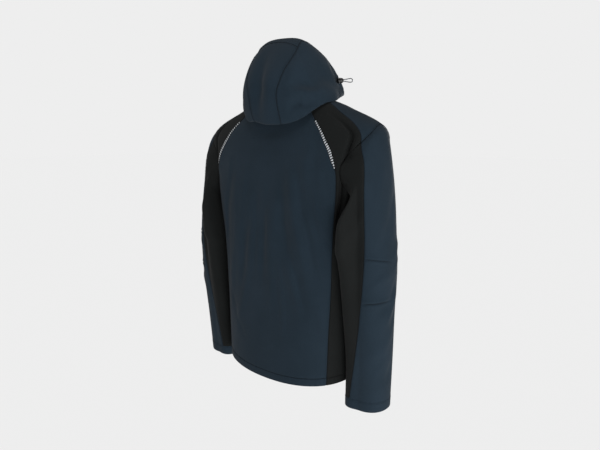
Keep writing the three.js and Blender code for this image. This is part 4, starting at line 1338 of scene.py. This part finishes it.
# The bows of the hood from the face edge to the neck. Each has its crown as (y, z), then three
# points down its left side, then its foot as a turn and a place on the collar.
HOOD_BOWS = (
    ("face edge", (-42, 134), (52, -40, 119), (90, -50, 72), (102, -66, 22), (128, 0.62)),
    ("brow", (2, 148), (62, 2, 130), (98, -18, 68), (115, -30, 12), (108, 0.78)),
    ("crown", (46, 153), (62, 48, 137), (100, 24, 60), (125, 6, 2), (90, 0.8)),
    ("upper back", (94, 124), (69, 84, 100), (102, 66, 34), (123, 45, -5), (72, 0.76)),
    ("back", (137, 52), (64, 122, 42), (97, 97, 12), (109, 82, -25), (56, 0.82)),
    ("lower back", (138, 4), (62, 124, 0), (91, 106, -14), (97, 96, -38), (42, 0.9)),
    ("nape fold", (113, -55), (44, 110, -54), (72, 103, -49), (82, 94, -41), (30, 0.94)),
    ("under the fold", (93, -22), (34, 90, -21), (50, 84, -17), (52, 75, -2), (25, 0.94)),
    ("neck seam", None, None, None, None, (20, 0.94)),
)
NAPE = len(HOOD_BOWS) - 1
# The hood has slumped to the right, so its left half differs from the right one by this.
HOOD_LEFT = ((0, 0, 7), (-2, -2, 2), (-12, -2, 4), (0, 0, 0))
HOOD_SCALE = (150, 60)
HOOD_SEAM = (0.19, 0.2, 0.22, 0.215, 0.19, 0.165, 0.235, 0.28, 0.35)
BRIM_SEAM = 2.58
HOOD_CREASES = (
    (((0.03, 2.9), (0.02, 5.4)), -5, 15),
    (((0.33, 3.4), (0.5, 5.3)), -4, 13),
    (((-0.34, 3.2), (-0.5, 4.9)), -3, 12),
    (((-0.45, 1.0), (-0.6, 3.4)), 3, 14),
    (((0.42, 1.2), (0.6, 3.6)), 3, 14),
)
HOOD_FINE = (
    (((0.17, 2.6), (0.3, 2.85), (0.4, 3.2)), -3, 9),
    (((-0.54, 1.4), (-0.49, 3.0), (-0.35, 4.0)), -6, 11),
    (((-0.62, 1.5), (-0.55, 3.5), (-0.29, 4.9)), 5, 11),
    (((-0.65, 3.3), (-0.6, 4.4), (-0.35, 5.3)), -5, 9),
    (((-0.29, 2.9), (-0.29, 3.9)), 2.4, 10),
    (((-0.21, 3.7), (-0.19, 4.5)), -1.8, 9),
    (((0.05, 3.3), (0.03, 4.5), (0.1, 5.6)), -8, 10),
    (((-0.07, 3.7), (-0.08, 5.4)), 2.6, 10),
    (((0.07, 2.75), (0.1, 3.1), (0.13, 3.5)), 2, 9),
    (((0.1, 3.4), (0.12, 5.0)), 1.6, 9),
    (((-0.3, 0.5), (-0.5, 1.3)), 1.2, 9),
    (((0.3, 0.5), (0.5, 1.3)), 1.2, 9),
    (((-0.6, 0.4), (-0.72, 1.6)), -1.4, 8),
    (((0.6, 0.4), (0.72, 1.6)), -1.4, 8),
)


def off_collar(turn, down):
    turn, down = np.asarray(turn, float), np.asarray(down, float)
    return on_collar(turn, down) + facing(on_collar, turn, down, 0, 1) * HOOD_OFF


def hood_stations(index):
    """The nine points that a bow passes, from the right foot over the crown to the left foot."""
    _, crown, temple, cheek, rest, foot = HOOD_BOWS[index]
    if crown is None:
        return off_collar(np.linspace(-foot[0], foot[0], 9), np.full(9, foot[1]))
    left_foot = off_collar(np.array([foot[0]]), np.array([foot[1]]))[0]
    half = np.array([temple, cheek, rest, left_foot], float)
    left = half + np.array(HOOD_LEFT) * min(1, index / 3)
    return np.concatenate([(half * (-1, 1, 1))[::-1], [(0, crown[0], crown[1])], left])


hood_bows = [hood_stations(index) for index in range(len(HOOD_BOWS))]


def smooth_hood(over, bow):
    """over is -1 at the right foot, 0 on the crown and 1 at the left foot.

    bow counts the bows back from the face edge.
    """
    shape = np.broadcast(over, bow).shape
    over, bow = (np.broadcast_to(x, shape).ravel() for x in (over, bow))
    across = np.clip((over + 1) / 2, 0, 1) * 8
    spread = (np.broadcast_to(s[:, None], (9, len(across), 3)) for s in hood_bows)
    lines = np.array([smooth_line(stations, across) for stations in spread])
    return smooth_line(lines, bow).reshape(shape + (3,))


def on_hood(over, bow):
    height = crease_height(HOOD_CREASES + HOOD_FINE, HOOD_SCALE, over, bow)
    return smooth_hood(over, bow) + facing(smooth_hood, over, bow, 0, NAPE) * height[..., None]


def hood_seam(start, end):
    """The edge of the hood's middle panels, between two bows."""

    def seam(t):
        bow = start + (end - start) * t
        return np.stack([along(HOOD_SEAM, bow), bow], -1)

    return seam


def middle_patch(start, end):
    seam = hood_seam(start, end)
    wide = seam(np.array([0.0, 1.0]))[:, 0]
    return patch(
        rows_between(-wide[0], wide[0], start),
        rows_between(-wide[1], wide[1], end),
        lambda t: seam(t) * (-1, 1),
        seam,
    )


TUNNEL = 17  # the tunnel for the drawcord, turned in along the face opening


def tunnel_relief(far, u, v):
    """The full tunnel on the top edge, gathered by its cord, with the groove of its stitching."""
    d = far["top"]
    full = 0.9 * hump(d, TUNNEL / 2, 5.5)
    gathers = 0.55 * ripples(far["left"] + 0.7 * d, 53) * (1 - smooth(d, 4, TUNNEL + 6))
    return full + gathers - 0.6 * hump(d, TUNNEL, 1.4)


brim_layout = cloth(
    "hood_brim_panel",
    "hood_brim",
    on_hood,
    middle_patch(0, BRIM_SEAM),
    ("seam", "seam", "fold", "seam"),
    [NAVY, FLEECE],
    step=3.0,
    relief=tunnel_relief,
    seed=18,
)
middle_layout = cloth(
    "hood_middle_panel",
    "hood_strip",
    on_hood,
    middle_patch(BRIM_SEAM, NAPE),
    ALL_SEAMS,
    [NAVY, FLEECE],
    step=3.0,
    seed=19,
)
hood_lines = [
    stitch_line(brim_layout, "top", TUNNEL),
    stitch_line(middle_layout, "top", SEAM_STITCH),
    stitch_line(middle_layout, "left", SEAM_STITCH, 0, 0.72),
    stitch_line(middle_layout, "right", SEAM_STITCH, 0, 0.72),
]
seam_ends = along(HOOD_SEAM, np.array([0.0, float(NAPE)]))
for side, sign in SIDES:
    layout = cloth(
        f"hood_side_panel_{side}",
        f"hood_side_{side}",
        one_half(on_hood, sign),
        patch(
            rows_between(seam_ends[0], 1, 0),
            rows_between(seam_ends[1], 1, NAPE),
            hood_seam(0, NAPE),
            lambda t: np.stack([1 + 0 * t, NAPE * t], -1),
        ),
        ("seam", "under", "fold", "under"),
        [NAVY, FLEECE],
        sign=sign,
        step=3.0,
        relief=tunnel_relief,
        seed=21 + sign,
    )
    hood_lines.append(stitch_line(layout, "left", SEAM_STITCH, 0, 0.75))
    hood_lines.append(stitch_line(layout, "top", TUNNEL, 0, 0.9))
stitching("stitching_hood", hood_lines, NAVY_THREAD)


# The reflective trims. Tapered black tape on the back seams from under the hood to the armhole,
# printed with slanted bars of glass-bead silver, which look pale grey by day.
TRIM_FROM, TRIM_TO = 3.5, 8.2  # rows of the back seam, as in the solids
TRIM_WIDTH = (4, 5, 6, 7, 7.6, 6.4, 1.6)
TRIM_LENGTH = 160
TRIM_OVER = 0.4
TRIM_UNDER = 0.1
TRIM_THICK = 0.5
BAR_COUNT = 22
BAR_SHARE = 0.52
BAR_EDGE = 0.86  # how far the bars reach across the tape
BAR_SLANT = 0.1  # how far a bar leans along the tape, as a share of the tape's width
BAR_THICK = 0.16


# Glass-bead reflective print: tiny beads in a pale binder, so it is light grey, slightly metallic
# and softly bright.
def glass_bead_print():
    material, tree = new_material("glass_bead_silver")
    place = add_node(tree, "TexCoord")
    bead = add_node(tree, "TexVoronoi", {"Vector": place.outputs["Object"], "Scale": 2400.0})
    tone = add_node(
        tree,
        "Mix",
        {"Factor": bead.outputs["Distance"], "A": linear("#C4C7CB"), "B": linear("#A0A4A9")},
        data_type="RGBA",
    )
    surface = add_node(
        tree,
        "BsdfPrincipled",
        {
            "Base Color": tone.outputs["Result"],
            "Roughness": 0.42,
            "Metallic": 0.15,
            "Coat Weight": 0.2,
        },
    )
    add_node(tree, "OutputMaterial", {"Surface": surface})
    return material


BEADS = glass_bead_print()


def on_trim(sign, t, x):
    """Points of the tape, and the way out of it.

    t goes from its top to its low end, and x from -1 at the back to 1 at the side panel.
    """
    t, x = np.broadcast_arrays(np.asarray(t, float), np.asarray(x, float))
    share = (TRIM_FROM + (TRIM_TO - TRIM_FROM) * t.ravel()) / REAR_ROWS
    seam = back_seam(share)
    form = one_half(on_body, sign)
    points = form(seam[:, 0], seam[:, 1])
    out = facing(form, seam[:, 0], seam[:, 1], 0, HEM)
    ahead, behind = (back_seam(share + d) for d in (0.004, -0.004))
    down = form(ahead[:, 0], ahead[:, 1]) - form(behind[:, 0], behind[:, 1])
    down /= np.linalg.norm(down, axis=1)[:, None]
    across = np.cross(down, out)
    width = along(TRIM_WIDTH, t.ravel() * (len(TRIM_WIDTH) - 1)) / 2
    points = points + across * (x.ravel() * width)[:, None]
    return points.reshape(t.shape + (3,)), out.reshape(t.shape + (3,))


def slab(face, back):
    """A closed slab between two matching grids of points."""
    rows, columns = face.shape[:2]
    index = np.arange(rows * columns).reshape(rows, columns)
    top = grid_quads(index)
    under = top[:, ::-1] + rows * columns
    border = np.concatenate([index[0, :-1], index[:-1, -1], index[-1, :0:-1], index[:0:-1, 0]])
    ahead = np.roll(border, -1)
    rim = np.stack([border, ahead, ahead + rows * columns, border + rows * columns], -1)
    points = np.concatenate([face.reshape(-1, 3), back.reshape(-1, 3)])
    return points, np.concatenate([top, under, rim])


def trim_height(x):
    """The tape's height over the cloth, a little less at its edges."""
    return TRIM_OVER + TRIM_THICK * (1 - 0.5 * x**4)


for side, sign in SIDES:
    t = np.linspace(0, 1, 61)[:, None]
    x = np.linspace(-1, 1, 7)[None, :]
    base, out = on_trim(sign, t, x)
    points, faces = slab(base + out * trim_height(x)[..., None], base + out * TRIM_UNDER)
    tape = mesh_piece(f"trim_tape_{side}", points * (sign, 1, 1), faces[:, ::sign], [BLACK])
    settle(tape, f"trim_{side}")

    all_points, all_faces, count = [], [], 0
    for bar in range(BAR_COUNT):
        start = (bar + 0.2) / BAR_COUNT
        bar_t = start + np.linspace(0, BAR_SHARE / BAR_COUNT, 3)[:, None]
        bar_x = np.linspace(-BAR_EDGE, BAR_EDGE, 6)[None, :]
        width = along(TRIM_WIDTH, np.clip(bar_t, 0, 1) * (len(TRIM_WIDTH) - 1))
        lean = BAR_SLANT * width / TRIM_LENGTH
        bar_t = np.clip(bar_t - bar_x * lean, 0.002, 0.998)
        base, out = on_trim(sign, bar_t, bar_x + 0 * bar_t)
        top = (trim_height(bar_x) + BAR_THICK)[..., None]
        points, faces = slab(base + out * top, base + out * (top - BAR_THICK * 1.5))
        all_points.append(points * (sign, 1, 1))
        all_faces.append(faces[:, ::sign] + count)
        count += len(points)
    points, faces = np.concatenate(all_points), np.concatenate(all_faces)
    settle(mesh_piece(f"trim_bars_{side}", points, faces, [BEADS]))


# The front zip. A moulded coil zip on two woven tapes, sewn behind the fronts and the collar,
# closed to near the collar's top, with a die-cast slider and a flat pull tab hanging from its
# bridge.
ZIP_TAPE = 16
ZIP_BEHIND = 2.7  # how far the tape's face lies behind the fronts' form
TAPE_THICK = 0.8
ZIP_TOP, ZIP_FOOT = -0.93, HEM - 0.04  # places as front_point takes them
TOOTH_PITCH = 2.0
TOOTH_HEIGHT = 1.9
TOOTH_SINK = 0.35
# A tooth's rings: the reach in mm, and the shares of the height and the pitch.
TOOTH_RINGS = (
    (-0.9, 0.5, 0.4),
    (0.2, 0.75, 0.62),
    (1.6, 1.0, 0.62),
    (2.3, 0.75, 0.5),
    (3.0, 0.3, 0.4),
)


def front_point(x, place):
    """Points on the front's middle strip.

    place is -1 at the collar's top and 0 at the neck seam, and then goes as the levels do.
    """
    x, place = np.broadcast_arrays(np.asarray(x, float), np.asarray(place, float))
    size = np.maximum(np.abs(x), 0.01)
    low = np.maximum(place, 0)
    body = on_body(front_turn(low, size), low)
    body[..., 1] += COLLAR_INSET * (1 - smooth(place, 0.15, 0.5))
    turn = 180 - np.degrees(np.arcsin(size / COLLAR_TOP["half"]))
    points = np.where((place >= 0)[..., None], body, on_collar(turn, np.clip(1 + place, 0, 1)))
    points[..., 0] = x
    return points


def front_out(place):
    step = 0.05
    above, below = np.maximum(place - step, -1), np.minimum(place + step, HEM)
    x, y, z = np.moveaxis(front_point(0.01, below) - front_point(0.01, above), -1, 0)
    out = np.stack([0 * x, -np.abs(z), y * np.sign(z)], -1)
    return out / np.linalg.norm(out, axis=-1, keepdims=True)


# Woven polyester zip tape: a tight herringbone, matte black.
def zip_tape_cloth():
    material, tree = new_material("woven_zip_tape")
    place = add_node(tree, "TexCoord")
    rows = add_node(
        tree,
        "TexWave",
        {"Vector": place.outputs["Object"], "Scale": 160.0, "Distortion": 1.0},
        bands_direction="DIAGONAL",
    )
    tone = add_node(
        tree,
        "Mix",
        {"Factor": rows.outputs["Fac"], "A": linear("#0C0D0F"), "B": linear("#131518")},
        data_type="RGBA",
    )
    bump = add_node(
        tree, "Bump", {"Height": rows.outputs["Fac"], "Strength": 0.4, "Distance": 0.0002}
    )
    surface = add_node(
        tree,
        "BsdfPrincipled",
        {"Base Color": tone.outputs["Result"], "Roughness": 0.85, "Normal": bump},
    )
    add_node(tree, "OutputMaterial", {"Surface": surface})
    return material


TAPE = zip_tape_cloth()
below_neck = np.linspace(0.25, ZIP_FOOT, 160)
zip_places = np.concatenate([np.linspace(ZIP_TOP, 0, 24), [0.08, 0.15], below_neck])
for side, sign in SIDES:
    x = sign * np.linspace(0.4, ZIP_TAPE, 9)[None, :]
    base = front_point(x, zip_places[:, None])
    out = front_out(zip_places)[:, None]
    points, faces = slab(base - out * ZIP_BEHIND, base - out * (ZIP_BEHIND + TAPE_THICK))
    tape = mesh_piece(f"zip_tape_strip_{side}", points, faces[:, ::-sign], [TAPE])
    settle(tape, f"zip_tape_{side}")

middle_run = lengths(front_point(0.01, zip_places))
tooth_at = np.interp(np.arange(1, middle_run[-1] - 1, TOOTH_PITCH), middle_run, zip_places)
tooth_base = front_point(0.01, tooth_at) * (0, 1, 1)
tooth_out = front_out(tooth_at)
tooth_down = np.cross((1.0, 0, 0), tooth_out)
pattern = np.array(ring_faces(len(TOOTH_RINGS), 4))
all_points, all_faces, count = [], [], 0
for row, way in enumerate((1, -1)):
    pick = slice(row, None, 2)
    base = tooth_base[pick] - tooth_out[pick] * (ZIP_BEHIND - TOOTH_SINK)
    ring = []
    for reach, rise, size in TOOTH_RINGS:
        middle = base + np.array((way * reach, 0, 0))
        for b, a in ((-1, 0), (1, 0), (1, 1), (-1, 1)):
            along_it = tooth_down[pick] * (b * TOOTH_PITCH * size * (0.8 if a else 1.0))
            ring.append(middle + tooth_out[pick] * (a * TOOTH_HEIGHT * rise) + along_it)
    points = np.stack(ring, 1)
    first = count + np.arange(len(points))[:, None, None] * len(ring)
    all_faces.append((first + pattern[None, :, ::way]).reshape(-1, 4))
    all_points.append(points.reshape(-1, 3))
    count += len(points) * len(ring)
teeth = mesh_piece("zip_teeth", np.concatenate(all_points), np.concatenate(all_faces), [ACETAL])
settle(teeth, "zip_chain")


# Dark nickel on die-cast zinc: the slider and its tab. Handling has polished the edges a little.
def dark_nickel():
    material, tree = new_material("dark_nickel")
    place = add_node(tree, "TexCoord")
    wear = add_node(
        tree, "TexNoise", {"Vector": place.outputs["Object"], "Scale": 900.0, "Detail": 3.0}
    )
    rough = add_node(
        tree,
        "MapRange",
        {
            "Value": wear.outputs["Fac"],
            "From Min": 0.3,
            "From Max": 0.7,
            "To Min": 0.24,
            "To Max": 0.42,
        },
    )
    surface = add_node(
        tree,
        "BsdfPrincipled",
        {"Base Color": linear("#5A5D60"), "Metallic": 1.0, "Roughness": rough},
    )
    add_node(tree, "OutputMaterial", {"Surface": surface})
    return material


NICKEL = dark_nickel()
for node_name in ("zip_slider", "zip_pull"):
    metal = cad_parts[node_name]
    metal.data.materials.clear()
    metal.data.materials.append(NICKEL)


# The floor and the light. A plain pale floor far below the jacket runs out to an equally pale
# backdrop. Large soft lamps stand low behind the jacket and to its right, one lights each of the
# left side and the front, and one hangs high, so every fold is lit softly.
FLOOR_HEIGHT = -1.45
FLOOR_SIZE = 60
PALE = 0.855  # how bright the floor and the backdrop come out, where 1 is white
FLOOR_TONE = "#E8E8E8"
ROOM_LIGHT = 0.05  # the soft light that comes from all round, as a share of the backdrop's
mesh = bpy.data.meshes.new("floor")
half = FLOOR_SIZE / 2
corners = [(-half, -half, 0), (half, -half, 0), (half, half, 0), (-half, half, 0)]
mesh.from_pydata(corners, [], [(0, 1, 2, 3)])
floor = add_object("floor", mesh)
floor.location = (0, 0, FLOOR_HEIGHT)
material, tree = new_material("pale_studio_floor")
speckle = add_node(tree, "TexNoise", {"Scale": 3.0, "Detail": 2.0})
tones = {"Factor": speckle.outputs["Fac"], "A": linear(FLOOR_TONE), "B": linear("#E7E7E7")}
pale = add_node(tree, "Mix", tones, data_type="RGBA")
surface = add_node(tree, "BsdfDiffuse", {"Color": pale.outputs["Result"]})
add_node(tree, "OutputMaterial", {"Surface": surface})
mesh.materials.append(material)

bpy.context.scene.view_settings.view_transform = "Standard"
world = bpy.data.worlds.new("studio")
world.use_nodes = True
tree = world.node_tree
tree.nodes.clear()
room = add_node(tree, "Background", {"Color": (1, 1, 1, 1), "Strength": PALE * ROOM_LIGHT})
backdrop = add_node(tree, "Background", {"Color": (1, 1, 1, 1), "Strength": PALE})
path = add_node(tree, "LightPath")
seen = add_node(tree, "MixShader", {0: path.outputs["Is Camera Ray"], 1: room, 2: backdrop})
add_node(tree, "OutputWorld", {"Surface": seen})
bpy.context.scene.world = world

# The floor has a lamp of its own, and the others leave it out, so it is evenly pale right out to
# the backdrop.
floor_group = bpy.data.collections.new("floor_alone")
floor_group.objects.link(floor)
others_group = bpy.data.collections.new("all_but_the_floor")
others_group.objects.link(floor)
for item in others_group.collection_objects:
    item.light_linking.link_state = "EXCLUDE"
floor_light = bpy.data.lights.new("floor_lamp", "SUN")
floor_light.energy = math.pi * (PALE / linear(FLOOR_TONE)[0] - PALE * ROOM_LIGHT)
floor_light.angle = math.radians(60)
floor_lamp = add_object("floor_lamp", floor_light)
floor_lamp.light_linking.receiver_collection = floor_group
floor_lamp.light_linking.blocker_collection = floor_group

LAMP_AWAY = 2.6
LAMP_SIZE = 1.8
LAMP_AIM = -0.3
LAMPS = (  # the turn round from the front and the rise in degrees, then the power
    ("low_lamp_right", 270, -12, 29),
    ("low_lamp_middle", 230, -12, 60),
    ("left_lamp", 110, 30, 13),
    ("front_lamp", 10, 0, 42),
    ("top_lamp", 200, 80, 34),
)
for name, turn, rise, power in LAMPS:
    light = bpy.data.lights.new(name, "AREA")
    light.shape = "DISK"
    light.size = LAMP_SIZE
    light.energy = power
    lamp = add_object(name, light)
    way = direction(turn, rise)
    lamp.location = Vector((0, 0, LAMP_AIM)) + way * LAMP_AWAY
    lamp.rotation_euler = way.to_track_quat("Z", "Y").to_euler()
    lamp.light_linking.receiver_collection = others_group
